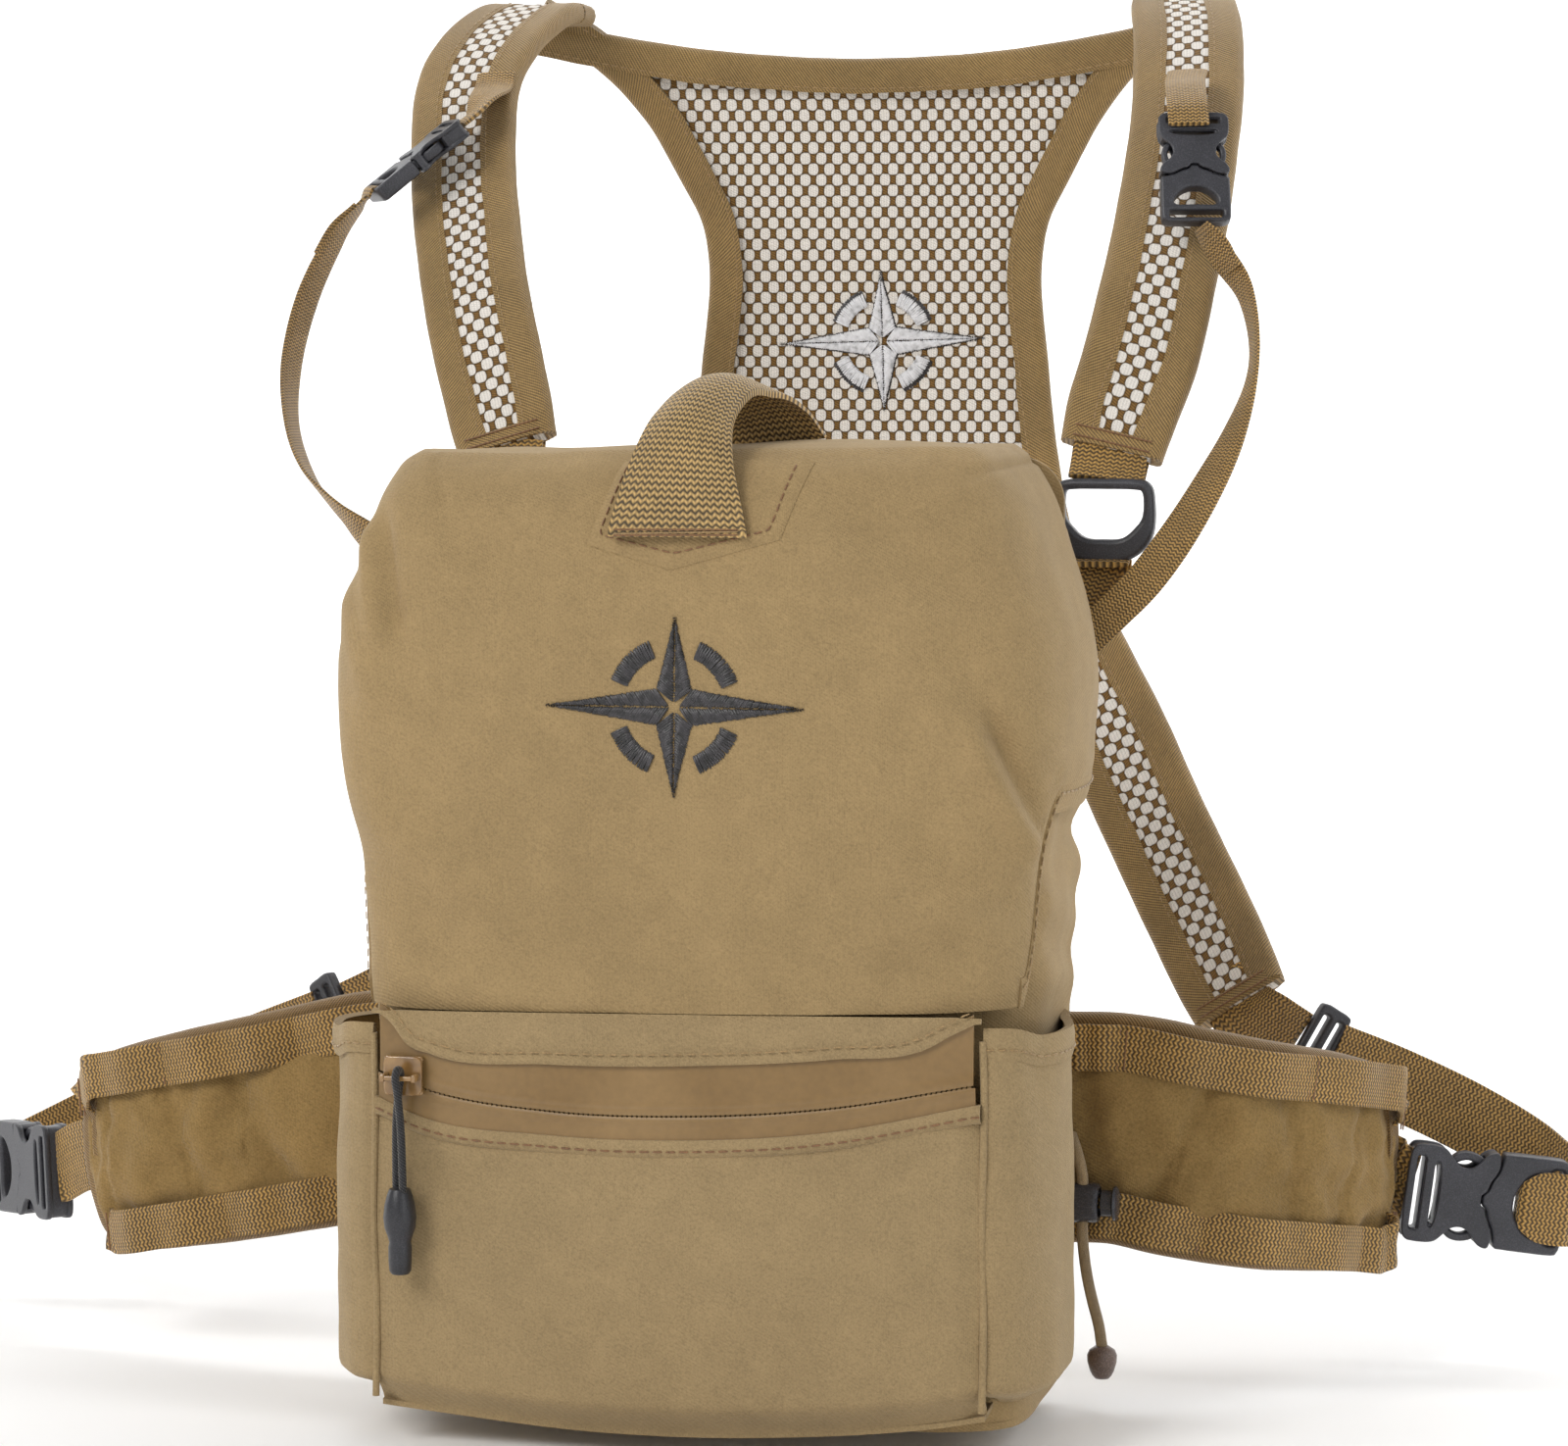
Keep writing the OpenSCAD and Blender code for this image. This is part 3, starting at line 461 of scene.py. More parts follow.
def m_embroid(name, base, painted_highlight_gain=2.2, pitch=0.62):
    """Satin stitch: fine thread lines along v on a moderately glossy shader, with a painted highlight on each thread's
    crest and painted shade between the threads.
    """
    k = Mat(name, rough=0.42, sheen=0.2, spec=0.6)
    u, v = k.uv()
    w = k.math("ADD", k.math("MULTIPLY", u, 1000 / pitch), k.math("MULTIPLY", k.noise(500, 1), 0.8))
    s = k.math("ADD", k.math("MULTIPLY", k.math("SINE", k.math("MULTIPLY", w, 2 * math.pi)), 0.5), 0.5)
    nz = k.noise(1400, 2, 0.6)
    f = k.math("MULTIPLY", s, k.math("ADD", nz, 0.4), clamp=True)
    # painted highlight on the thread crests and painted shade in the gaps between threads
    col = k.ramp(f, [(0.1, tuple(c * 0.5 for c in base)), (0.5, base), (0.95, tuple(min(1, c * painted_highlight_gain) for c in base))])
    return k.out(col, k.bump(s, 0.0002, 0.9))

TAN = rgb(155, 131, 92)
SOFT = m_softshell("softshell", TAN)
POCK = m_softshell("softshell_pocket", rgb(154, 132, 96), dark=0.94)
WINGM = m_softshell("wing_cloth", rgb(140, 113, 68), dark=0.86, light=1.08, grain=0.14)
LINER = m_softshell("liner_cloth", rgb(96, 82, 60), grain=0.12)
WEB = m_webbing("webbing", rgb(146, 113, 58), painted_shade_gain=0.22, painted_highlight_gain=2.1)
WEBN = m_webbing("webbing_narrow", rgb(150, 118, 66), rib=1.0, cross=0.8, painted_shade_gain=0.25, painted_highlight_gain=2.0)
WEBH = m_webbing("webbing_handle", rgb(156, 128, 80), rib=1.7, cross=1.05, painted_highlight_gain=1.9, painted_shade_gain=0.2)
BIND = m_twill("binding", rgb(140, 113, 68))
BIND2 = m_twill("binding_wing", rgb(118, 90, 48))
MESH = m_mesh("spacer_mesh", rgb(238, 232, 224), rgb(122, 90, 44))
PLAS = m_plastic("acetal", base=(0.030, 0.030, 0.036), rough=0.36)
PLAS_G = m_plastic("acetal_gloss", base=(0.03, 0.03, 0.036), rough=0.22, grain=0.00004)
THR = m_thread("thread_tan", rgb(150, 122, 80))
THR_D = m_thread("thread_brown", rgb(120, 84, 52))
EMB_B = m_embroid("embroidery_black", (0.009, 0.008, 0.009), painted_highlight_gain=4.0)
EMB_G = m_embroid("embroidery_grey", rgb(205, 205, 208), painted_highlight_gain=1.25)
RUB = m_plastic("sleeve_rubber", base=(0.022, 0.022, 0.026), rough=0.3, grain=0.00006)
CORDB = m_twill("cord_black", (0.014, 0.014, 0.016), pitch=0.8, painted_highlight_gain=3.0)
CORDT = m_twill("cord_tan", rgb(176, 150, 112), pitch=0.9, painted_highlight_gain=1.35, painted_shade_gain=0.6)
ENDP = m_plastic("cord_end", base=rgb(96, 80, 72), rough=0.35)
k_ = Mat("zip_tape", rough=0.34, spec=0.5, coat=0.15, coat_rough=0.3)
_f = k_.noise(500, 2); _b = k_.noise(30, 2)
ZTAPE = k_.out(k_.mix(1.0, k_.ramp(_b, [(0.3, rgb(122, 94, 52)), (0.7, rgb(142, 113, 70))]), k_.ramp(_f, [(0.3, (0.93,) * 3), (0.7, (1.05,) * 3)]), "MULTIPLY"), k_.bump(_f, 0.00006, 0.5))
k_ = Mat("slider_enamel", rough=0.22, spec=0.6, coat=0.5, coat_rough=0.12)
_f = k_.noise(240, 2)
SLID = k_.out(k_.ramp(_f, [(0.3, rgb(120, 88, 48)), (0.7, rgb(158, 122, 74))]), k_.bump(_f, 0.00008, 0.4))
k_ = Mat("spring_steel", rough=0.3, metal=1.0)
_f = k_.noise(900, 2)
STEEL = k_.out(k_.ramp(_f, [(0.3, (0.45,) * 3), (0.7, (0.65,) * 3)]))

# ------------------------------------------------------------------ elastic cord (first soft piece)
def curve_tube(name, pts, r, mat):
    cu = bpy.data.curves.new(name, "CURVE"); cu.dimensions = "3D"; cu.bevel_depth = r * MM; cu.bevel_resolution = 4
    cu.resolution_u = 6; cu.use_fill_caps = True
    c = cr(pts, np.linspace(0, 1, 28)); sp = cu.splines.new("POLY"); sp.points.add(len(c) - 1)
    for q, v in zip(sp.points, c):
        q.co = (*[float(x) * MM for x in v], 1)
    ob = bpy.data.objects.new(name, cu); bpy.context.scene.collection.objects.link(ob); cu.materials.append(mat)
    return ob

CORD = [[87, -5, -62], [89, -8, -66], [91, -11, -72], [91, -11, -80], [91, -11, -86], [91.4, -11, -92], [92.4, -11, -99], [94, -11, -106], [95.6, -11, -112], [96.5, -11, -118]]
ecord = curve_tube("elastic_cord_tan", CORD, 1.5, CORDT)
finish_piece(ecord, "root", ["elastic_cord"])
ln = float(np.linalg.norm(np.diff(cr(CORD, np.linspace(0, 1, 200)), axis=0), axis=1).sum()) * MM

def lathe(name, prof, mat, m=28, axis="z", at=(0, 0, 0), rot=None, angle=40):
    V = []; F = []
    for h, r in prof:
        for j in range(m):
            a = 2 * math.pi * j / m
            V.append((r * math.cos(a), r * math.sin(a), h))
    for k in range(len(prof) - 1):
        for j in range(m):
            F.append((k * m + j, k * m + (j + 1) % m, (k + 1) * m + (j + 1) % m, (k + 1) * m + j))
    F.append(tuple(range(m))[::-1]); F.append(tuple((len(prof) - 1) * m + j for j in range(m)))
    V = arr(V)
    if rot is not None:
        V = V @ arr(rot).T
    return make(name, V + arr(at), F, mat, angle=angle)

cend = lathe("cord_end_cover", [(0.3, 1.7), (0, 2.2), (-0.8, 3.4), (-2.2, 4.0), (-4, 3.9), (-6.4, 3.2), (-7.6, 2.6), (-8.4, 1.9), (-8.6, 0.8)], ENDP, at=(96.5, -11, -117.6))
finish_piece(cend, "root", ["cord_end"])

# ------------------------------------------------------------------ lid
HZ = [-22, 5, 22, 33, 50, 60, 73, 83, 95, 103, 110, 115, 118.5, 121]
HW = [89.5, 91.5, 93, 95.5, 97.5, 98, 97, 94.5, 90, 87.5, 84.5, 81.5, 79, 75.5]
YZ = [-22, 0, 30, 60, 90, 104, 112, 117, 121]
YF = [-94.2, -94.8, -95.2, -95.6, -94.4, -92.2, -88.6, -84, -77]

def lid_section(A, Z):
    hw = interp(Z, HZ, HW); yf = interp(Z, YZ, YF); k = (yf + 95.0) * 0.5
    X = np.stack([-(hw - 5), -(hw - 1.5), -hw, -(hw - 2.0), -(hw - 8), -(hw - 24), -hw * 0.42, 0 * hw, hw * 0.42, hw - 24, hw - 8, hw - 2.0, hw, hw - 1.5, hw - 5])
    Y = np.stack([0 * hw - 6, 0 * hw - 20, 0 * hw - 42, 0 * hw - 66, -82.5 + k, -91.2 + k * 1.7, yf + 0.8, yf, yf + 0.8, -91.2 + k * 1.7, -82.5 + k, 0 * hw - 66, 0 * hw - 42, 0 * hw - 20, 0 * hw - 6])
    u = np.clip(A, 0, 1) * 14; i = np.minimum(np.floor(u).astype(int), 13); t = u - i
    def ev(C):
        q = np.concatenate([2 * C[:1] - C[1:2], C, 2 * C[-1:] - C[-2:-1]])
        g = lambda j: np.take_along_axis(q, j[None], 0)[0]
        a, b, c, d = g(i), g(i + 1), g(i + 2), g(i + 3)
        return 0.5 * (2 * b + (c - a) * t + (2 * a - 5 * b + 4 * c - d) * t ** 2 + (3 * b - a - 3 * c + d) * t ** 3)
    return ev(X), ev(Y)

def seg_dist(x, z, p, q):
    p, q = arr(p), arr(q); d = q - p; L2 = (d ** 2).sum()
    t = np.clip(((x - p[0]) * d[0] + (z - p[1]) * d[1]) / L2, 0, 1)
    sd = ((x - p[0]) * d[1] - (z - p[1]) * d[0]) / math.sqrt(L2)
    return np.hypot(x - p[0] - t * d[0], z - p[1] - t * d[1]), sd, t

def fold(x, z, p, q, w, h, side=0.0):
    """Soft ridge (h > 0) or crease (h < 0) along a line, w mm wide, fading at its ends."""
    d, sd, t = seg_dist(x, z, p, q)
    f = h * np.exp(-(d / w) ** 2) * np.clip(np.sin(np.pi * np.clip(t, 0.02, 0.98)) * 1.6, 0, 1)
    if side:
        f += -side * h * np.exp(-((sd - w * 1.5) / (w * 1.2)) ** 2) * np.clip(np.sin(np.pi * np.clip(t, 0.02, 0.98)) * 1.6, 0, 1) * (d < w * 5)
    return f

def lid_disp(P):
    x, y, z = P[:, 0], P[:, 1], P[:, 2]
    d = 1.7 * fields(P, 55, 3.1) + 0.55 * fields(P, 21, 7.7) + 0.14 * fields(P, 8, 1.3)
    fr = sstep(-70, -80, y)
    d += fr * fold(x, z, (78, 60), (95, 18), 3.0, -3.4, 1.1)
    d += fr * fold(x, z, (66, 80), (88, 40), 6, -1.8, 0.8)
    d += fr * fold(x, z, (-80, 108), (-72, 70), 3.0, -2.8, 1.0)
    d += fr * fold(x, z, (-90, 90), (-78, 52), 5.5, 2.0)
    d += fr * fold(x, z, (-88, 34), (-46, 6), 8, 1.6, 0.4) + fr * fold(x, z, (44, 0), (88, 16), 7, 1.7, 0.5) + fr * fold(x, z, (56, 34), (90, 2), 6, -1.5, 0.8)
    d += fr * fold(x, z, (34, 112), (78, 84), 6, -1.5, 0.7) + fr * fold(x, z, (-66, 106), (-34, 90), 6, -1.3, 0.6)
    d += fold(x, z, (-69, 121), (-60, 106), 1.3, -0.9) + fold(x, z, (88, 122), (70, 114), 1.3, -0.9)
    sd = sstep(-78, -66, y)
    d += sd * (0.5 * np.sin(z / 8.5 + 0.05 * y) * sstep(70, 34, z) + 1.0 * fields(P, 28, 9.4))
    d -= sd * 1.6 * sstep(42, 31, z)
    d += fr * 1.2 * np.exp(-((z + 16) / 6.0) ** 2) * (1 - (x / 96) ** 2)
    return d

NA, NW, NC = ((221, 128, 34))
A1 = np.linspace(0, 1, NA)
x30, y30 = lid_section(A1, np.full(NA, 30.0))
z0 = lerp(30.5, -19.2, sstep(-66, -77, y30)) + np.where(y30 < -74, 0.022 * x30, 0)
q = np.linspace(0, 1, NW)[:, None]
zt = 121.0
W = z0[None] + (zt - z0[None]) * (q ** 0.92)
AA = np.repeat(A1[None], NW, 0)
X, Y = lid_section(AA.ravel(), W.ravel())
wall = np.stack([X, Y, W.ravel()], -1).reshape(NW, NA, 3)
wall[..., 2] += 0.012 * wall[..., 0] * sstep(60, 120, wall[..., 2])
edge = wall[-1]
cap = []
for k in range(1, NC + 1):
    f = (k / NC) ** 0.85 * 0.985
    p = edge * (1 - f) + arr([0, -6, 0]) * f
    p[:, 2] = edge[:, 2] + 1.2 * math.sin(min(1, f * 1.6) * math.pi / 2)
    cap.append(p)
P = np.concatenate([wall, np.array(cap)], 0)
P[..., 2] -= 1.2 * sstep(-30, -6, P[..., 1]) * (P[..., 2] > 100)
Nn = normals_grid(P); cen = arr([0, -40, 60])
sgn = np.sign(((P - cen) * Nn).sum(-1).mean()); Nn = Nn * sgn
dd = lid_disp(P.reshape(-1, 3)).reshape(P.shape[:2])
dd = dd * sstep(0.985, 0.9, np.repeat(np.concatenate([np.zeros(NW), np.linspace(0, 1, NC)])[:, None], NA, 1))
P = P + Nn * dd[..., None]
P[..., 1] = np.minimum(P[..., 1], -5.6)
LP, LN = P, Nn
lid = slab("lid_cloth", P, 1.5, SOFT, N=Nn, flip=sgn < 0)
finish_piece(lid, "lid_cloth", ["lid_shell"])
inn = slab("lid_lining_cloth", P - Nn * 1.8, 0.5, LINER, N=Nn, flip=sgn < 0)
finish_piece(inn, "lid_cloth", ["lid_lining"])
ltree = caster(lid)

# hem of the side walls: a turned edge with a stitch row
for sx in (-1, 1):
    ia = [j for j in range(NA) if y30[j] > -79 and x30[j] * sx > 0]
    p = LP[0, ia] + LN[0, ia] * 0.35; nn = LN[0, ia]
    up = unit(LP[4, ia] - LP[0, ia])
    g = np.stack([p - up * 0.4 + nn * 0.0, p + up * 2.0 + nn * 0.35, p + up * 5.0 + nn * 0.3, p + up * 7.2 + nn * -0.1])
    ob = slab("lid_hem_%s" % ("l" if sx < 0 else "r"), g, 0.8, SOFT, N=np.repeat(nn[None], 4, 0), flip=False)
    bm = bmesh.new(); bm.from_mesh(ob.data); bmesh.ops.recalc_face_normals(bm, faces=bm.faces); bm.to_mesh(ob.data); bm.free()
    finish_piece(ob, "lid_cloth")
    threads("lid_hem_stitch_%s" % ("l" if sx < 0 else "r"), g[2] + nn * 0.15, nn, THR, body="lid_cloth")

# ------------------------------------------------------------------ pouch, liner, back panel
def u_plan(hw, yb, yf, n, rc=14):
    """U-shaped outline from the rear left to the rear right, with rounded front corners (mm)."""
    pts = [(-hw, yb), (-hw, lerp(yb, yf, 0.45)), (-hw, yf + rc * 1.3), (-hw + rc * 0.28, yf + rc * 0.32), (-hw + rc * 1.2, yf), (-hw * 0.4, yf), (hw * 0.4, yf), (hw - rc * 1.2, yf), (hw - rc * 0.28, yf + rc * 0.32), (hw, yf + rc * 1.3), (hw, lerp(yb, yf, 0.45)), (hw, yb)]
    return cr(pts, np.linspace(0, 1, n))

n_u = 161
n_z = 110
zs = np.linspace(-126, 91, n_z)
rows = []
for z in zs:
    h = float(interp(z, [-126, -60, -28, -13, 0, 8, 20, 30, 40, 47, 54, 66, 80, 92], [85, 86, 87.6, 89, 89.5, 90.6, 88.2, 90.4, 85.4, 84.4, 84.3, 84.2, 84.1, 84]))
    o = u_plan(84, -4.2, -77.5, n_u); sx = np.sign(o[:, 0]); side = sstep(-76, -60, o[:, 1]) * sstep(-4, -14, o[:, 1])
    x = o[:, 0] + sx * (h - 84) * side
    rows.append(np.stack([x, o[:, 1], np.full(n_u, z)], -1))
P = arr(rows); Nn = normals_grid(P); sg = np.sign(((P - arr([0, -40, 0])) * Nn).sum(-1).mean()); Nn *= sg
f = 1.1 * fields(P, 26, 5.5).reshape(P.shape[:2]) + 0.2 * fields(P, 10, 2.2).reshape(P.shape[:2])
m = sstep(-76, -64, P[..., 1]) * sstep(-4, -16, P[..., 1]) * sstep(-30, -10, P[..., 2]) * sstep(36, 28, P[..., 2])
gath = 0.8 * np.sin((P[..., 2] - 24) / 17 * 2 * math.pi + P[..., 1] * 0.07)
P = P + Nn * ((f + gath) * m)[..., None]
pouch = slab("pouch_cloth", P, 1.8, SOFT, N=Nn, flip=sg < 0)
finish_piece(pouch, "root", ["pouch_shell"])
PP, PN = P, Nn
# rim binding of the pouch
rim = P[-1]; strap("pouch_rim_binding", rim[::2] * arr([0.993, 1, 1]) + arr([0, 0.8, -2.0]), unit(arr([0, 0, 1.0])), 8, 2.9, BIND, n=120, cols=4, rim=0.7)
finish_piece(bpy.data.objects["pouch_rim_binding"], "root")
# bottom
gx = np.linspace(-1, 1, 41); gy = np.linspace(0, 1, 15)
ou = u_plan(84.6, -4.2, -77.5, 41)
B = arr([[lerp((sx_ * 84.6, -4.2), o, g) for sx_, o in zip(gx, ou)] for g in gy])
B = np.concatenate([B, np.full(B.shape[:2] + (1,), -126.6)], -1); B[..., 2] -= 0.8 * fields(B, 30, 4).reshape(B.shape[:2])
ob = slab("pouch_bottom", B, 1.8, SOFT, N=np.tile(arr([0, 0, -1.0]), B.shape[:2] + (1,)))
bm = bmesh.new(); bm.from_mesh(ob.data); bmesh.ops.recalc_face_normals(bm, faces=bm.faces); bm.to_mesh(ob.data); bm.free()
finish_piece(ob, "root")

def fixn(ob):
    bm = bmesh.new(); bm.from_mesh(ob.data); bmesh.ops.recalc_face_normals(bm, faces=bm.faces); bm.to_mesh(ob.data); bm.free()
    return ob

def wall_piece(name, outline, z0, z1, t, mat, nz=24, amp=0.3, seed=1.0):
    o = arr(outline); g = np.stack([np.concatenate([o, np.full((len(o), 1), z)], 1) for z in np.linspace(z0, z1, nz)])
    N = normals_grid(g); N = N * np.sign(((g - g.mean((0, 1))) * N).sum(-1).mean())
    g = g + N * (amp * fields(g, 18, seed).reshape(g.shape[:2]))[..., None]
    return fixn(slab(name, g, t, mat, N=N))
loop = cr([(-80, -6.4), (-81.2, -9), (-81.4, -40), (-81, -66), (-78, -71), (-40, -71.8), (40, -71.8), (78, -71), (81, -66), (81.4, -40), (81.2, -9), (80, -6.4), (30, -6.2), (-30, -6.2), (-80, -6.4)], np.linspace(0, 1, 121))
ob = wall_piece("liner_walls", loop, -121, 85.5, 2.6, LINER); finish_piece(ob, "root", ["pouch_foam_liner"])
B2 = B.copy(); B2[..., 0] *= 0.955; B2[..., 1] = -9 + (B2[..., 1] + 4) * 0.84; B2[..., 2] = -120.5
ob = fixn(slab("liner_floor", B2, 2.6, LINER, N=np.tile(arr([0, 0, 1.0]), B2.shape[:2] + (1,)))); finish_piece(ob, "root")

def rrect(hw, z0, z1, r, n):
    """Grid inside a rounded rectangle: x, z arrays."""
    u, v = np.meshgrid(np.linspace(-1, 1, n), np.linspace(-1, 1, n)); hz = (z1 - z0) / 2
    x, z = u * hw, v * hz; ax, az = np.abs(x) - (hw - r), np.abs(z) - (hz - r)
    k = (ax > 0) & (az > 0); d = np.hypot(ax, az); s = np.where(k & (d > r), r / np.maximum(d, 1e-9), 1)
    x = np.where(k, np.sign(x) * (hw - r + ax * s), x); z = np.where(k, np.sign(z) * (hz - r + az * s), z)
    return x, z + (z0 + z1) / 2
nb = 111
x, z = rrect(84, -126, 118, 12, nb)
G = np.stack([x, 0 * x - 2.0, z], -1); N = np.tile(arr([0, 1.0, 0]), G.shape[:2] + (1,))
G[..., 1] += 0.25 * fields(G, 14, 3).reshape(x.shape)
ob = fixn(slab("back_panel_cloth", G, 2.0, SOFT, N=N)); finish_piece(ob, "root", ["back_panel"])
x, z = rrect(68, -120, 112, 10, nb)
ex = np.minimum(68 - np.abs(x), 116 - np.abs(z + 4)); y = -0.1 - 1.9 * (1 - sstep(0, 5, ex))
ch = np.minimum(np.abs(np.abs(x) - 26), np.minimum(np.abs(z + 44), np.abs(z - 36)))
y = y - 1.3 * np.exp(-(ch / 2.4) ** 2)
G = np.stack([x, y, z], -1)
ob = slab("chest_pad_mesh", G, 1.9, MESH, uv=np.stack([x, z], -1) * MM, N=N); fixn(ob); finish_piece(ob, "root")

# ------------------------------------------------------------------ front pocket
BX = [-95, -85, -63, -24, 27, 65, 90, 95]; BZ = [-122, -123.4, -125.6, -128.6, -127.6, -123.5, -119.0, -118.5]
FLX = [-77, -73.5, -70, -63, -32, 3.5, 41, 66, 71, 77]; FLZ = [-21.5, -24, -28.6, -31.4, -32.8, -32.0, -29.2, -25.4, -22.5, -19.5]
ZLX = [-78, -69, -32, 3, 41, 77]; ZLZ = [-43.4, -47.2, -51.4, -51.4, -48, -40.4]
ZZX = [-78, -67, -32, 3, 41, 76]; ZZZ = [-36.2, -40, -44.8, -44.9, -41.6, -35.2]

def front_y(x, z):
    """The pocket front: gently domed, tightest at the side seams."""
    b = 3.6 * (1 - (np.abs(x) / 78) ** 2.6) * np.clip(np.sin(np.pi * np.clip((z + 134) / 120, 0, 1)), 0, 1) ** 0.7
    return -94.2 - b

def front_grid(name, xl, xr, ztop, zbot, nx, nz_, t, mat, off=0.0, disp=None, nodes=(), roll=0.0, body="root"):
    s = np.linspace(0, 1, nx); v = np.linspace(0, 1, nz_)[:, None]
    x = lerp(xl, xr, s)[None].repeat(nz_, 0) if np.isscalar(xl) else lerp(arr(xl)[:, None], arr(xr)[:, None], s[None])
    zt_ = ztop(x); zb_ = zbot(x); z = zb_ + (zt_ - zb_) * v
    y = front_y(x, z) - off
    G = np.stack([x, y, z], -1)
    if disp is not None:
        G[..., 1] -= disp(x, z)
    if roll:
        ex = z - zb_; G[..., 1] += roll * (1 - sstep(0, roll * 1.4, ex))
    N = normals_grid(G); N = N * np.where(N[..., 1:2] > 0, -1, 1)
    ob = fixn(slab(name, G, t, mat, N=N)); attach(ob, body)
    if nodes:
        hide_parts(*nodes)
    return ob, G, N
nx = 181

def panel_disp(x, z):
    P = np.stack([x, 0 * x, z], -1); sh = x.shape
    d = 0.9 * fields(P, 44, 6.1).reshape(sh) + 0.3 * fields(P, 15, 1.9).reshape(sh)
    d += -1.3 * np.exp(-((z - interp(x, ZLX, ZLZ) + 12) / 6.5) ** 2) * sstep(78, 40, np.abs(x))
    d += 0.8 * np.exp(-((z - interp(x, ZLX, ZLZ) + 24) / 9) ** 2) * sstep(78, 40, np.abs(x))
    e = np.minimum(x + 79.2, 78.6 - x); d += -1.6 * (1 - sstep(0, 7, e))
    d += fold(x, z, (-74, -52), (-50, -70), 3.5, -0.8, 0.7) + fold(x, z, (74, -48), (48, -66), 3.5, -0.7, 0.6)
    return d
zlow = lambda x: interp(x, ZLX, ZLZ)
ppan, PG, PGN = front_grid("pocket_panel", -79.3, 78.7, zlow, lambda x: interp(x, BX, BZ), nx, nx, 1.6, POCK, disp=panel_disp, nodes=["front_pocket_shell"], roll=7.0)
ptree = caster(ppan)
# hem of the panel along the zip: turned edge and stitches
hx = np.linspace(-78.6, 78.2, 90)
hem = np.stack([np.stack([hx, front_y(hx, zlow(hx)) - o, zlow(hx) + dz], -1) for dz, o in ((0.6, -0.5), (0.5, 0.7), (-1.0, 1.2), (-2.6, 1.1), (-3.6, 0.6), (-4.2, -0.2))])
ob = fixn(slab("pocket_hem", hem, 0.9, POCK, N=np.tile(arr([0, -1.0, 0]), hem.shape[:2] + (1,)))); finish_piece(ob, "root")
threads("pocket_hem_stitch", hem[3] + arr([0, -0.05, 0.3]), arr([0, -1, 0]), THR_D, pitch=3.4, length=2.5)
# zip tapes: satin coated, meeting at the coil line
zzip = lambda x: interp(x, ZZX, ZZZ)
zflap = lambda x: interp(x, FLX, FLZ)
front_grid("zip_tape_upper", -77, 76.5, lambda x: zflap(x) + 2.5, lambda x: zzip(x) + 0.3, nx, 18, 1.0, ZTAPE, off=0.35, nodes=["zipper_tapes"], disp=lambda x, z: 0.35 * np.exp(-((z - zzip(x) - 1.2) / 1.0) ** 2))
front_grid("zip_tape_lower", -77.5, 77, lambda x: zzip(x) - 0.3, lambda x: zlow(x) - 1.0, nx, 18, 1.0, ZTAPE, off=0.2, disp=lambda x, z: 0.35 * np.exp(-((z - zzip(x) + 1.2) / 1.0) ** 2))
xs = np.linspace(-75.5, 75.5, 120); coil = []
V = []; F = []
for i, x in enumerate(xs):
    for zz in (-1, 1):
        b = len(V); zc = float(zzip(x)); yc = float(front_y(x, zc))
        for a in (-0.42, 0.42):
            for (dy, dz) in ((0.1, 0.05), (-0.75, 0.1), (-0.75, 0.55), (0.1, 0.75)):
                V.append((x + a, yc + dy + 0.4, zc + zz * dz))
        F += [(b, b + 1, b + 2, b + 3), (b + 7, b + 6, b + 5, b + 4)] + [(b + k, b + (k + 1) % 4, b + 4 + (k + 1) % 4, b + 4 + k) for k in range(4)]
ob = fixn(make("zip_teeth", V, F, ZTAPE, smooth=False)); finish_piece(ob, "root", ["zipper_coil"])
# storm flap above the zip
flap, FG, FN = front_grid("storm_flap", -79, 78.4, lambda x: -19.4 + 0.018 * x, lambda x: zflap(x), nx, 30, 1.5, POCK, off=1.3, nodes=["pocket_storm_flap"],
           disp=lambda x, z: 0.7 * np.exp(-((z - zflap(x) - 1.2) / 1.3) ** 2) - 0.9 * (1 - sstep(0, 3.5, -19.4 + 0.018 * x - z)) + 0.3 * fields(np.stack([x, 0 * x, z], -1), 22, 8.8).reshape(x.shape))
fl = np.stack([hx * 0.985, front_y(hx, zflap(hx)) - 1.95, zflap(hx) + 3.0], -1)
threads("flap_stitch", fl, arr([0, -1, 0]), THR, pitch=3.4, length=2.4, w=0.42, h=0.25)
# side seams of the front panel, with the cloth rolled into the seam
for sx, x0 in ((-1, -79.2), (1, 78.6)):
    z_ = np.linspace(float(interp(x0, BX, BZ)) + 3, -25.5 + 0.018 * x0, 60)
    p = np.stack([np.full(60, x0) + 0.25 * np.sin(z_ / 9), front_y(np.full(60, x0), z_) + 1.5, z_], -1)
    ob = tube("pocket_seam_%s" % ("l" if sx < 0 else "r"), p, 0.95, POCK, n=59); finish_piece(ob, "root")
# pocket underside
u_ = np.linspace(-79, 78.5, 61); v_ = np.linspace(0, 1, 10)[:, None]
G = np.stack([np.repeat(u_[None], 10, 0), lerp(-88.0, -76.0, v_) + 0 * u_[None], interp(u_, BX, BZ)[None] - 0.2 + 0 * v_ + lerp(0, 1, v_) * 1.0], -1)
ob = fixn(slab("pocket_under", G, 1.4, POCK, N=np.tile(arr([0, 0, -1.0]), G.shape[:2] + (1,)))); finish_piece(ob, "root")

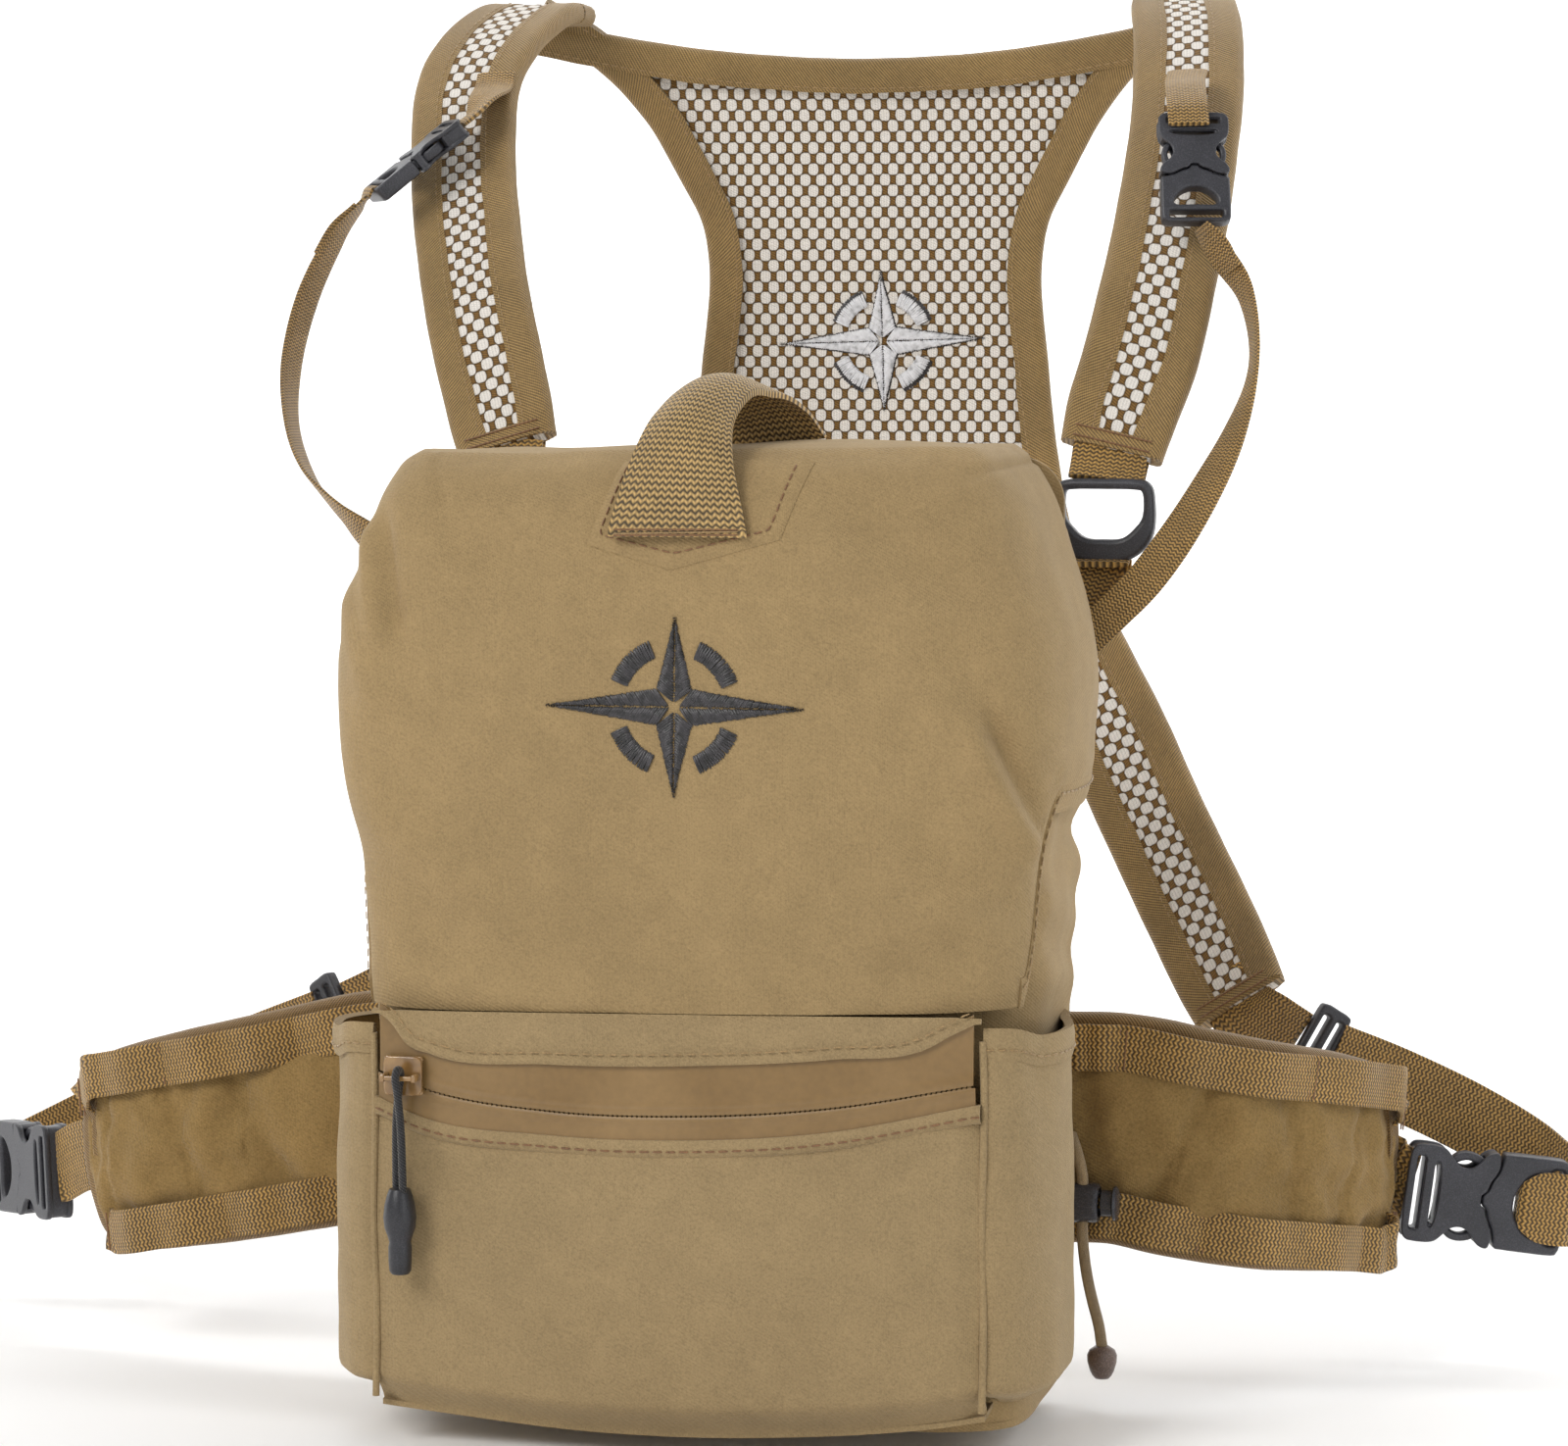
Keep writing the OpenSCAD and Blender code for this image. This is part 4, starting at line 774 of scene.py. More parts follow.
# ------------------------------------------------------------------ side pockets
for sx, tag, b in ((-1, "left", 1.5), (1, "right", 0.0)):
    x0 = 79.2 if sx < 0 else 78.6
    plan = cr([(x0, -92.6), (x0 + 4.2, -91.6), (88.2 + b * 0.3, -87), (93.2 + b, -76), (94.6 + b, -62), (94 + b, -46), (90, -31), (86.4, -20), (85.2, -16)], np.linspace(0, 1, 61))
    nz_ = 90
    zt_ = -26.5 + 0.02 * sx * 90; zb_ = float(interp(sx * 88, BX, BZ))
    v = np.linspace(0, 1, nz_); R = []
    for t in v:
        z = lerp(zb_, zt_, t); tuck = 1 - 0.6 * (1 - sstep(0, 0.09, t)) ** 2 if t < 0.09 else 1.0
        k = 1 + 0.010 * math.sin(t * 3.1) + 0.018 * sstep(0.9, 1.0, t) - 0.012 * sstep(0.72, 0.9, t) * sstep(1.0, 0.9, t)
        o = plan.copy(); inner = lerp(plan, plan * 0 + arr([80, -60]), 1 - tuck)
        o = inner; o[:, 0] = 78 + (o[:, 0] - 78) * k
        zz = z + 3.0 * sstep(-80, -92, o[:, 1]) * sstep(0.85, 1, t) - 2.0 * sstep(-70, -30, o[:, 1]) * sstep(0.7, 1, t)
        R.append(np.stack([o[:, 0], o[:, 1], zz], -1))
    G = arr(R); G[..., 0] *= sx
    N = normals_grid(G); N = N * np.where((N * arr([sx, -0.5, 0])).sum(-1, keepdims=True) < 0, -1, 1)
    d = 0.9 * fields(G, 30, 2 + sx).reshape(G.shape[:2]) + 0.35 * fields(G, 11, 4 + sx).reshape(G.shape[:2])
    d += 0.8 * np.sin(G[..., 1] / 6.5 + G[..., 2] / 22) * sstep(-100, -40, G[..., 2]) * sstep(-90, -80, G[..., 1]) * sstep(-16, -30, G[..., 1])
    G = G + N * d[..., None]
    ob = fixn(slab("side_pocket_cloth_" + tag, G, 1.3, POCK, N=N)); finish_piece(ob, "root", ["side_pocket_" + tag])
    h = G[-1] + N[-1] * 0.25; dn = arr([0, 0, -1.0])
    H = np.stack([h + arr([0, 0, 0.3]) - N[-1] * 1.6, h + arr([0, 0, 0.9]), h + dn * 1.2 + N[-1] * 0.35, h + dn * 5.2 + N[-1] * 0.25, h + dn * 7.0 - N[-1] * 0.25])
    ob = fixn(slab("side_pocket_hem_" + tag, H, 0.7, POCK, N=np.repeat(N[-1][None], 5, 0))); finish_piece(ob, "root")
    threads("side_pocket_stitch_" + tag, H[3] + N[-1] * 0.1 + arr([0, 0, 0.7]), N[-1], THR, pitch=3.2, length=2.3)
    un = np.stack([lerp(G[3], np.tile(arr([sx * 80, -60, zb_]), (61, 1)), t) for t in np.linspace(0, 1, 6)])
    ob = fixn(slab("side_pocket_base_" + tag, un, 1.2, POCK, N=np.tile(arr([0, 0, -1.0]), un.shape[:2] + (1,)))); finish_piece(ob, "root")

# ------------------------------------------------------------------ yoke: spacer mesh with bound edges
YZK = [66, 90, 116, 142, 165, 182, 196, 215, 230, 243]; YHK = [70, 60, 55, 52, 50, 52, 59, 70, 84, 104]

def yoke_pt(u, v, dy=0.0):
    hw = cr(YHK, v); x = u * hw
    z = cr(YZK, v) - (1 - u ** 2) * np.where(v > 0.7, 13 * (v - 0.7) / 0.3, 0) + (1 - u ** 2) * np.where(v < 0.3, 26 * (0.3 - v) / 0.3, 0)
    y = 165 - 0.0016 * x ** 2 + dy - np.where(v > 0.75, (v - 0.75) * 24, 0)
    return np.stack([x, y, z], -1)

nu, nv = ((121, 161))
U, V_ = np.meshgrid(np.linspace(-0.93, 0.93, nu), np.linspace(0.02, 0.975, nv))
G = yoke_pt(U.ravel(), V_.ravel()).reshape(nv, nu, 3); G[..., 1] += 1.1 * fields(G, 38, 2.4).reshape(nv, nu)
Ny = np.tile(arr([0, -1.0, 0]), (nv, nu, 1))
G[..., 1] -= 0.5
yk = fixn(slab("yoke_mesh_cloth", G, 2.2, MESH, uv=np.stack([G[..., 0], G[..., 2]], -1) * MM, N=Ny)); finish_piece(yk, "root", ["yoke_mesh"])

def edge_tape(name, pts, inward, width, mat, t=3.6, body="root", n=140, stitch=True, out=1.0, nodes=()):
    """Tape folded over an edge: rounded outer side, flat leg on each face, with a stitch row near its inner edge."""
    s = np.linspace(0, 1, n); c = cr(pts, s); I = unit(cr(inward, s) if np.ndim(inward) == 2 else np.tile(arr(inward), (n, 1)))
    T = unit(np.gradient(c, axis=0)); I = unit(I - (I * T).sum(1, keepdims=True) * T); N = np.cross(T, I)
    N = N * np.sign((N * arr([0, -1, 0])).sum(1, keepdims=True) + 1e-9)
    h = t / 2; prof = [(width, h - 0.55), (width, h), (width * 0.8, h + 0.12), (width * 0.5, h + 0.05), (2.0, h + 0.2), (0.6, h), (-out * 0.55, h * 0.62), (-out, 0.0), (-out * 0.55, -h * 0.62), (0.6, -h), (2.0, -h - 0.2), (width * 0.5, -h - 0.05), (width * 0.8, -h - 0.12), (width, -h), (width, -h + 0.55)]
    m = len(prof); V = []; UV = []; F = []
    le = np.concatenate([[0], np.cumsum(np.linalg.norm(np.diff(c, axis=0), axis=1))])
    wob = 0.25 * np.sin(le / 7.0) + 0.15 * np.sin(le / 2.6)
    for k in range(n):
        pl = 0.0
        for j, (a, b) in enumerate(prof):
            V.append(c[k] + I[k] * (a + wob[k] * (0.6 if a > 1 else 0.2)) + N[k] * b)
            if j:
                pl += math.hypot(a - prof[j - 1][0], b - prof[j - 1][1])
            UV.append((le[k] * MM, pl * MM))
    for k in range(n - 1):
        for j in range(m):
            F.append((k * m + j, k * m + (j + 1) % m, (k + 1) * m + (j + 1) % m, (k + 1) * m + j))
    F.append(tuple(range(m))[::-1]); F.append(tuple((n - 1) * m + j for j in range(m)))
    ob = fixn(make(name, V, F, mat, UV, angle=70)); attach(ob, body)
    if nodes:
        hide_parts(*nodes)
    if stitch:
        threads(name + "_stitch", c + I * (width - 1.5) + N * (h + 0.1), N, THR, pitch=2.9, length=2.0, w=0.4, h=0.22, body=body)
    return ob
ss = np.linspace(0, 1, 40)
for sx, tag in ((-1, "l"), (1, "r")):
    vv = np.linspace(0.0, 0.985, 40); e = yoke_pt(np.full(40, sx * 0.995), vv, -0.5); e2 = yoke_pt(np.full(40, sx * 0.8), vv, -0.5)
    edge_tape("yoke_binding_" + tag, e, e2 - e, 9.0, BIND, t=4.4, nodes=["yoke_binding"] if sx > 0 else ())
uu = np.linspace(-1.0, 1.0, 40); e = yoke_pt(uu, np.full(40, 1.0), -0.9); e2 = yoke_pt(uu, np.full(40, 0.9), -0.9)
edge_tape("yoke_binding_top", e, e2 - e, 9.0, BIND, t=4.8)
uu = np.linspace(-0.98, 0.98, 40); e = yoke_pt(uu, np.full(40, 0.0), -0.5); e2 = yoke_pt(uu, np.full(40, 0.1), -0.5)
edge_tape("yoke_binding_bottom", e, e2 - e, 9.0, BIND, t=4.6)

# ------------------------------------------------------------------ padded mesh straps
def mesh_strap(tag, p, w, width, t, s0, s1, body="root", node=None, endbind=(True, True), bw=8.6, front=None):
    """Spacer-mesh core with folded tape along both edges."""
    n = 150
    s = np.linspace(s0, s1, n); c, T, W, N = route(p, w, s); wd = cr(width, s)[:, None]
    fr = arr(front if front is not None else [0, -1, 0])
    flip = np.sign((N * fr).sum(1).mean()) or 1.0; N = N * flip
    c = c + N * (0.35 * fields(c, 20, 3.3))[:, None] + W * (0.5 * fields(c, 33, 5.3))[:, None]
    le = np.concatenate([[0], np.cumsum(np.linalg.norm(np.diff(c, axis=0), axis=1))])
    a = np.linspace(-0.5, 0.5, 17)
    crown = 0.9 * (1 - (2 * a) ** 2)
    G = c[:, None] + W[:, None] * (a[None, :, None] * (wd[:, None] - 3)) + N[:, None] * (t / 2 - 0.9 + crown[None, :, None])
    uv = np.stack([np.repeat(a[None] * float(width[0]) * 0.92, n, 0), np.repeat(le[:, None], 17, 1)], -1) * MM
    ob = fixn(slab(tag + "_core", G, t - 1.4 + 0.0, MESH, uv=uv, N=np.repeat(N[:, None], 17, 1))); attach(ob, body)
    if node:
        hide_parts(node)
    for sg, nm in ((-1, "a"), (1, "b")):
        e = c + W * (sg * wd / 2)
        edge_tape(tag + "_tape_" + nm, e[::3], (-sg * W)[::3], bw, BIND, t=t + 0.3, body=body, n=n)
    # bound end with bartacks
    for k, on in ((0, endbind[0]), (-1, endbind[1])):
        if on:
            d = 1 if k == 0 else -1
            idx = [0, 3, 6, 9] if k == 0 else [-1, -4, -7, -10]
            cc = c[idx]; st = strap(tag + "_end%d" % (0 if k == 0 else 1), cc, W[idx], [float(wd[k][0]) + 1.2] * 4, t + 1.5, BIND, n=16, cols=10, rim=0.5)
            finish_piece(st, body)
            for o in (0.25, 0.85):
                q = cr(cc, [o])[0]; X = np.linspace(-0.42, 0.42, 40)[:, None]
                ln_ = q + W[k] * X * wd[k] + N[k] * (t / 2 + 0.85)
                threads(tag + "_bartack%d%d" % (0 if k == 0 else 1, int(o * 100)), ln_, N[k], THR_D, pitch=1.1, length=1.6, w=0.5, h=0.35, body=body)
    return c, T, W, N, wd

SHO = {"right": ([[93.6, 15.5, 119], [96, 20, 130], [100, 29, 146], [104, 48, 176], [105, 76, 209], [102, 100, 231], [97, 126, 243], [94, 146, 243.5]],
                 [[0.99, 0.1, -0.1], [0.98, 0.15, -0.1], [0.97, 0.2, -0.1], [1, 0.1, 0], [1, 0, 0], [1, 0, 0], [1, 0, 0], [1, 0, 0]]),
       "left": ([[-73, 14.5, 119], [-77, 20, 130], [-87, 35, 156], [-98, 60, 188], [-104.5, 84, 217], [-103, 101, 232], [-98, 126, 243], [-94, 146, 243.5]],
                [[1, 0, 0.05], [1, 0, 0.2], [0.97, 0, 0.3], [0.98, 0, 0.15], [1, 0, 0.05], [1, 0, 0], [1, 0, 0], [1, 0, 0]])}
SHW = [26, 28, 29, 29, 29, 29, 28, 26]
for tag, (p, w) in SHO.items():
    mesh_strap("shoulder_" + tag, p, w, SHW, 5.5, 0.0, 1.0, node="shoulder_strap_" + tag, endbind=(True, False), front=[0, -0.8, 0.6])
LOW = [[44, 158, 92], [58, 150, 66], [78, 132, 32], [98, 111, -2], [113, 94, -26], [121, 85, -39]]
LOWW = [[0.75, 0.1, 0.66], [0.8, 0, 0.6], [0.85, 0.1, 0.55], [0.8, 0.1, 0.55], [0.75, 0.1, 0.6], [0.7, 0.1, 0.7]]
LOWN = [24, 27, 29, 29, 29, 27]
def mir(p, k):
    q = arr(p).copy(); q[..., 0] *= k; return q.tolist()
for k, tag in ((1, "right"), (-1, "left")):
    mesh_strap("lower_" + tag, mir(LOW, k), mir(LOWW, k), LOWN, 5.0, 0.03, 1.0, node="lower_strap_" + tag, endbind=(True, True), front=[0.3 * k, -0.9, 0.2])

# ------------------------------------------------------------------ webbing
def web(name, p, w, width, t, body="root", node=None, mat=None, slot="webbing", n=40, **kw):
    ob = strap(name, p, w, width, t, mat or WEB, n=n, cols=8, rim=0.45, **kw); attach(ob, body)
    if node:
        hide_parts(*([node] if isinstance(node, str) else node))
    return ob
for k, tag in ((1, "right"), (-1, "left")):
    web("lower_webbing_%s_v" % tag, mir([[116, 89.5, -30], [121.6, 84.0, -40], [130, 79, -44.5], [137, 74.5, -48]], k), mir([[0.6, 0.1, 0.75]] * 4, k), 20, 1.9, node="lower_webbing_" + tag)
web("strap_end_left_v", [[-73, 14.2, 121], [-73, 11.2, 115], [-73, 9.2, 111.6]], [1, 0, 0], 20, 2.0, node="strap_end_webbing_left", n=16)
web("strap_end_right_v", [[93.6, 15.2, 121], [93.2, 12, 115], [93, 9.2, 111.6]], [0.99, 0.1, -0.1], 20, 2.0, node="strap_end_webbing_right", n=16)
web("strap_end_back_left", [[-73, 9.2, 111.2], [-73, 12.8, 113], [-73.6, 18.8, 120], [-76, 21.5, 127]], [1, 0, 0.05], 20, 1.7, n=16)
web("strap_end_back_right", [[93, 9.2, 111.2], [93.2, 12.8, 113], [94, 19.4, 120], [96, 22.6, 127]], [0.99, 0.1, -0.1], 20, 1.7, n=16)
web("anchor_left_v", [[-75, 4.4, 89.4], [-75, 7.8, 90.6], [-75, 8.4, 88.2], [-76.5, 4.8, 80], [-77.6, 1.0, 71], [-78, -0.7, 61]], [1, 0, 0], 16, 1.6, node="anchor_webbing_left")
web("anchor_right_v", [[92, 4.4, 89.4], [92, 7.8, 90.6], [92, 8.4, 88.2], [88, 4.4, 79], [84, 1.4, 71], [82, -0.4, 61]], [1, 0, 0], 16, 1.6, node="anchor_webbing_right")

# ------------------------------------------------------------------ padded wings
WR = [[84, 1, -61], [100, 1, -61], [118, 5, -65], [136, 14, -69], [151, 30, -73], [160, 47, -77], [164, 60, -80]]
WL = [[-84, 1, -61], [-104, 1, -61], [-126, 2, -66], [-148, 4, -71], [-170, 8, -76], [-186, 14, -80], [-197, 21, -82]]
WWD = [60, 60, 60, 59, 57, 54, 46]

def wing_frame(p, s):
    c, T, W, N = route(p, [0, 0, 1], s)
    front = arr([0.35 if p[0][0] > 0 else -0.2, -1, 0])
    if (N * front).sum() < 0:
        N = -N
    return c, T, W, N

def cloth_pad(name, verts, faces, pin, mat, cell=2.6, frames=14, pressure=3.6, cap=5.0):
    """Foam pad: an air-filled cloth shell held along its sewn outline."""
    ob = make(name, verts, faces, None, smooth=True)
    rm = ob.modifiers.new("remesh", "REMESH"); rm.mode = "VOXEL"; rm.voxel_size = cell * MM
    dg = bpy.context.evaluated_depsgraph_get(); me = bpy.data.meshes.new_from_object(ob.evaluated_get(dg))
    ob.modifiers.clear(); ob.data = me
    co = np.empty(len(me.vertices) * 3, np.float32); me.vertices.foreach_get("co", co); co = co.reshape(-1, 3).astype(float)
    vg = ob.vertex_groups.new(name="pin")
    w = pin(co / MM)
    for i in np.nonzero(w > 0.01)[0]:
        vg.add([int(i)], float(w[i]), "REPLACE")
    md = ob.modifiers.new("cloth", "CLOTH"); st = md.settings
    st.quality = 5; st.mass = 0.12; st.tension_stiffness = 12; st.compression_stiffness = 8; st.shear_stiffness = 6; st.bending_stiffness = 0.6
    st.use_pressure = True; st.uniform_pressure_force = pressure; st.effector_weights.gravity = 0.0
    st.vertex_group_mass = "pin"; st.shrink_min = -0.05; st.air_damping = 4
    md.point_cache.frame_start, md.point_cache.frame_end = 1, frames
    sc = bpy.context.scene
    for f in range(1, frames + 1):
        sc.frame_set(f)
    dg = bpy.context.evaluated_depsgraph_get(); new = bpy.data.meshes.new_from_object(ob.evaluated_get(dg))
    nc = np.empty(len(new.vertices) * 3, np.float32); new.vertices.foreach_get("co", nc); nc = nc.reshape(-1, 3).astype(float)
    mv = nc - co; L = np.linalg.norm(mv, axis=1, keepdims=True); nc = co + mv * np.minimum(1, cap * MM / np.maximum(L, 1e-9))
    ob.modifiers.clear(); ob.data = new; new.vertices.foreach_set("co", nc.astype(np.float32).ravel()); new.update()
    sc.frame_set(1)
    sb = ob.modifiers.new("sub", "SUBSURF"); sb.levels = sb.render_levels = 1
    dg = bpy.context.evaluated_depsgraph_get(); new = bpy.data.meshes.new_from_object(ob.evaluated_get(dg)); ob.modifiers.clear(); ob.data = new
    new.materials.clear(); new.materials.append(mat); new.polygons.foreach_set("use_smooth", [True] * len(new.polygons))
    return ob

def half_w(s, wid):
    w = cr(wid, s) / 2 + 1.0
    e = np.clip((s - 0.84) / 0.16, 0, 1)
    return w * (0.66 + 0.34 * np.sqrt(np.clip(1 - e ** 2.4, 0, 1)))

PALS_T = {"right": ([0.02, 0.15, 0.565, 0.965], [0.02, 0.385, 0.78]), "left": ([0.02, 0.32, 0.62, 0.97], [0.02, 0.3, 0.55, 0.88])}
for tag, p in (("right", WR), ("left", WL)):
    s = np.linspace(0.0, 1.0, 61); c, T, W, N = wing_frame(p, s); hw = half_w(s, WWD)
    a = np.linspace(-1, 1, 21)
    F_ = c[:, None] + W[:, None] * (a[None, :, None] * (hw[:, None, None] - 2.0)) + N[:, None] * (1.7 + 2.0 * (1 - np.abs(a) ** 4))[None, :, None]
    B_ = c[:, None] + W[:, None] * (a[None, :, None] * (hw[:, None, None] - 2.0)) - N[:, None] * (1.7 + 2.0 * (1 - np.abs(a) ** 4))[None, :, None]
    # creases where the pad bends, drawn as lines of held cloth
    cz = [(0.30, 0.5), (0.55, -0.4), (0.72, 0.3)] if tag == "right" else [(0.45, 0.6), (0.62, 0.3), (0.86, -0.4)]
    n1, n2 = F_.shape[:2]; V = np.vstack([F_.reshape(-1, 3), B_.reshape(-1, 3)]); o = n1 * n2
    F = grid_faces(n1, n2) + grid_faces(n1, n2, True, o)
    for j in range(n2 - 1):
        F.append((j + 1, j, j + o, j + 1 + o)); b = (n1 - 1) * n2; F.append((b + j, b + j + 1, b + j + 1 + o, b + j + o))
    for i in range(n1 - 1):
        F.append((i * n2, (i + 1) * n2, (i + 1) * n2 + o, i * n2 + o)); q_ = i * n2 + n2 - 1; F.append((q_ + n2, q_, q_ + o, q_ + n2 + o))
    def pin(P, c=c, W=W, T=T, hw=hw, s=s, cz=cz):
        d = ((P[:, None] - c[None]) ** 2).sum(2); k = d.argmin(1)
        lw = np.abs(((P - c[k]) * W[k]).sum(1)); w = sstep(7.5, 4.5, hw[k] - lw)
        w = np.maximum(w, sstep(0.955, 0.99, s[k])); w = np.maximum(w, sstep(0.05, 0.02, s[k]))
        sw = ((P - c[k]) * W[k]).sum(1)
        for s0_, sl in cz:
            w = np.maximum(w, 0.35 * np.exp(-((s[k] - s0_ - sl * sw / 260) / 0.014) ** 2) * (np.abs(sw) > 4))
        return np.clip(w, 0, 1)
    pad = cloth_pad("wing_pad_" + tag, V, F, pin, WINGM)
    me = pad.data; co = np.empty(len(me.vertices) * 3, np.float32); me.vertices.foreach_get("co", co); co = co.reshape(-1, 3).astype(float) / MM
    no = np.empty(len(me.vertices) * 3, np.float32); me.vertices.foreach_get("normal", no); no = no.reshape(-1, 3)
    d = ((co[:, None] - c[None]) ** 2).sum(2); k = d.argmin(1); sw = ((co - c[k]) * W[k]).sum(1)
    amp = 0.9 * np.sin(s[k] * 46 + sw / 9 + 1.5 * fields(co, 30, 1.1)) * sstep(29, 20, np.abs(sw)) * (0.4 + 0.6 * np.abs(fields(co, 40, 4.2))) + 0.5 * fields(co, 16, 2.7)
    for s0_, sl in cz:
        amp += -1.5 * np.exp(-((s[k] - s0_ - sl * sw / 260) / 0.016) ** 2) * sstep(27, 18, np.abs(sw))
    co = co + no * amp[:, None] * 0.8
    me.vertices.foreach_set("co", (co * MM).astype(np.float32).ravel()); me.update()
    finish_piece(pad, "root", ["wing_" + tag])
    # bound outline
    m = 46; st = np.linspace(0.02, 0.90, m); c1, T1, W1, N1 = wing_frame(p, st); h1 = half_w(st, WWD)
    top = c1 + W1 * (h1 - 1)[:, None]; bot = c1 - W1 * (h1 - 1)[:, None]
    ce, Te, We, Ne = wing_frame(p, np.array([1.0])); ce, Te, We = ce[0], Te[0], We[0]; he = half_w(np.array([1.0]), WWD)[0] - 1
    R = 9.0; corner = []
    c9, t9, w9, _ = wing_frame(p, np.array([0.94, 0.975, 0.995])); h9 = half_w(np.array([0.94, 0.975, 0.995]), WWD) - 1
    ctop = [c9[0] + w9[0] * h9[0], c9[1] + w9[1] * (h9[1] - 0.6), c9[2] + w9[2] * (h9[2] - 1.5), ce + Te * 2.0 + We * (he - 6)]
    mid = [ce + Te * 2.6 + We * x for x in np.linspace(he - 11, -he + 11, 7)]
    cbot = [ce + Te * 2.0 - We * (he - 6), c9[2] - w9[2] * (h9[2] - 1.5), c9[1] - w9[1] * (h9[1] - 0.6), c9[0] - w9[0] * h9[0]]
    path = np.vstack([top, ctop, mid, cbot, bot[::-1]])
    L = np.concatenate([[0], np.cumsum(np.linalg.norm(np.diff(path, axis=0), axis=1))]); uq = np.linspace(0, L[-1], 150)
    path = np.stack([np.interp(uq, L, path[:, i]) for i in range(3)], 1)
    for _ in range(3):
        path[1:-1] = (path[:-2] + 2 * path[1:-1] + path[2:]) / 4
    dd_ = ((path[:, None] - c[None]) ** 2).sum(2).argmin(1); tgt = c[np.minimum(dd_, 52)]
    inw = unit(tgt - path)
    edge_tape("wing_tape_" + tag, path, inw, 7.0, BIND2, t=6.2, n=170, out=1.2, nodes=["wing_binding_" + tag])
    # PALS rows: webbing tacked at intervals, standing off between the tacks
    for row, (wo, tk) in enumerate(((22.3, PALS_T[tag][0]), (-22.3, PALS_T[tag][1]))):
        tk = list(tk) + ([0.97] if tk[-1] < 0.8 else [])
        sa, sb_ = 0.015, tk[-1] + 0.012
        ss_ = np.linspace(sa, sb_, 110); cc, TT, WW, NN = wing_frame(p, ss_)
        hh = half_w(ss_, WWD); wv = np.minimum(np.abs(wo), hh - 5.2) * np.sign(wo)
        lift = np.zeros(110)
        for t0, t1 in zip(tk[:-1], tk[1:]):
            k_ = (ss_ >= t0) & (ss_ <= t1); x_ = (ss_[k_] - t0) / (t1 - t0)
            lift[k_] = min(3.2, 14 * (t1 - t0)) * np.clip(np.sin(np.pi * x_), 0, 1) ** 0.6 * (1 - 0.25 * np.cos(4 * np.pi * x_))
        base = cc + WW * wv[:, None] + NN * (4.3 + lift)[:, None]
        ob = strap("pals_%s_%d" % (tag, row), base, WW, 12.4, 1.7, WEB, n=109, cols=8, rim=0.45)
        finish_piece(ob, "root", ["pals_webbing_" + tag] if row == 0 else ())
        for q_, tt_ in enumerate(tk):
            if tt_ > 0.04:
                for dx in (-0.9, 0.9):
                    cq, tq, wq, nq = wing_frame(p, np.array([tt_])); hq = half_w(np.array([tt_]), WWD)[0]
                    wvq = min(abs(wo), hq - 5.2) * np.sign(wo)
                    X_ = np.linspace(-5.6, 5.6, 24)[:, None]
                    ln_ = cq + wq * (wvq + X_) + nq * 5.25 + tq * dx
                    threads("tack_%s_%d_%d_%d" % (tag, row, q_, int(dx > 0)), ln_, nq[0], THR_D, pitch=0.95, length=1.5, w=0.55, h=0.4)

# tabs carrying the waist buckles
TABR = [[160.5, 58.5, -79.5], [164.8, 63, -80.5], [167.5, 62, -82], [169.5, 61, -83.5], [171.5, 60.4, -84.2]]
TABL = [[-192.5, 17.5, -81.5], [-198.2, 20.5, -82.5], [-204, 24.5, -84.5], [-210.2, 29, -88], [-212, 30.5, -88.6]]
web("wing_tab_right_v", TABR, [0, 0, 1], 20, 2.0, node="wing_tab_right", n=20)
web("wing_tab_left_v", TABL, [0, 0, 1], 20, 2.0, node="wing_tab_left", n=20)

# waist straps: they follow the female buckles
WSR = [[148, 77, -52], [165, 86, -60], [185, 91, -70], [203, 90, -80], [214.5, 82, -87], [217, 75, -91]]
WSL = [[-148, 77, -52], [-170, 84, -61], [-200, 90, -74], [-226, 88, -87], [-242, 77, -95], [-246, 69, -98]]
for tag, p, cb in (("right", WSR, "waist_clip_right"), ("left", WSL, "waist_clip_left")):
    w_ob = strap("waist_strap_%s_v" % tag, p, [0, 0, 1], 20, 1.9, WEB, n=90, cols=8, rim=0.45)
    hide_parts("waist_strap_" + tag)
    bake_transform(w_ob)

TTR = [[114.3, 36, 178.8], [120, 36.5, 171], [127, 36, 160], [130, 28, 143], [126, 18, 124], [117, 7, 104], [106, 1.2, 87], [95.6, -1.8, 76], [87.4, -2.9, 68]]
TWR = [[0.5, -0.8, 0], [0.6, -0.7, 0.4], [0.4, -0.8, 0.4], [0.3, -0.8, 0.2], [0.5, -0.7, -0.2], [0.7, -0.4, -0.5], [0.7, 0, -0.7], [0.6, 0, -0.8], [0.6, 0, -0.8]]
TTL = [[-120.0, 48.8, 190.4], [-122.3, 47.4, 190.4], [-123.4, 46.8, 187.7], [-124.7, 45.7, 185.3], [-130.8, 42.5, 176.5], [-137.4, 37, 160], [-140, 30, 142], [-137, 20, 126], [-129, 10, 112], [-117, 3, 101], [-103, -0.5, 91], [-87, -2, 81]]
TWL = [[-0.5, 0.87, 0], [-0.5, 0.87, 0], [-0.45, 0.88, 0], [-0.15, 0.93, -0.1], [0.2, 0.85, 0], [0.3, 0.9, 0], [0.2, 0.9, -0.1], [0.1, 0.85, -0.3], [0.35, 0.5, -0.6], [0.55, 0.15, -0.75], [0.6, 0, -0.8], [0.6, 0, -0.8]]
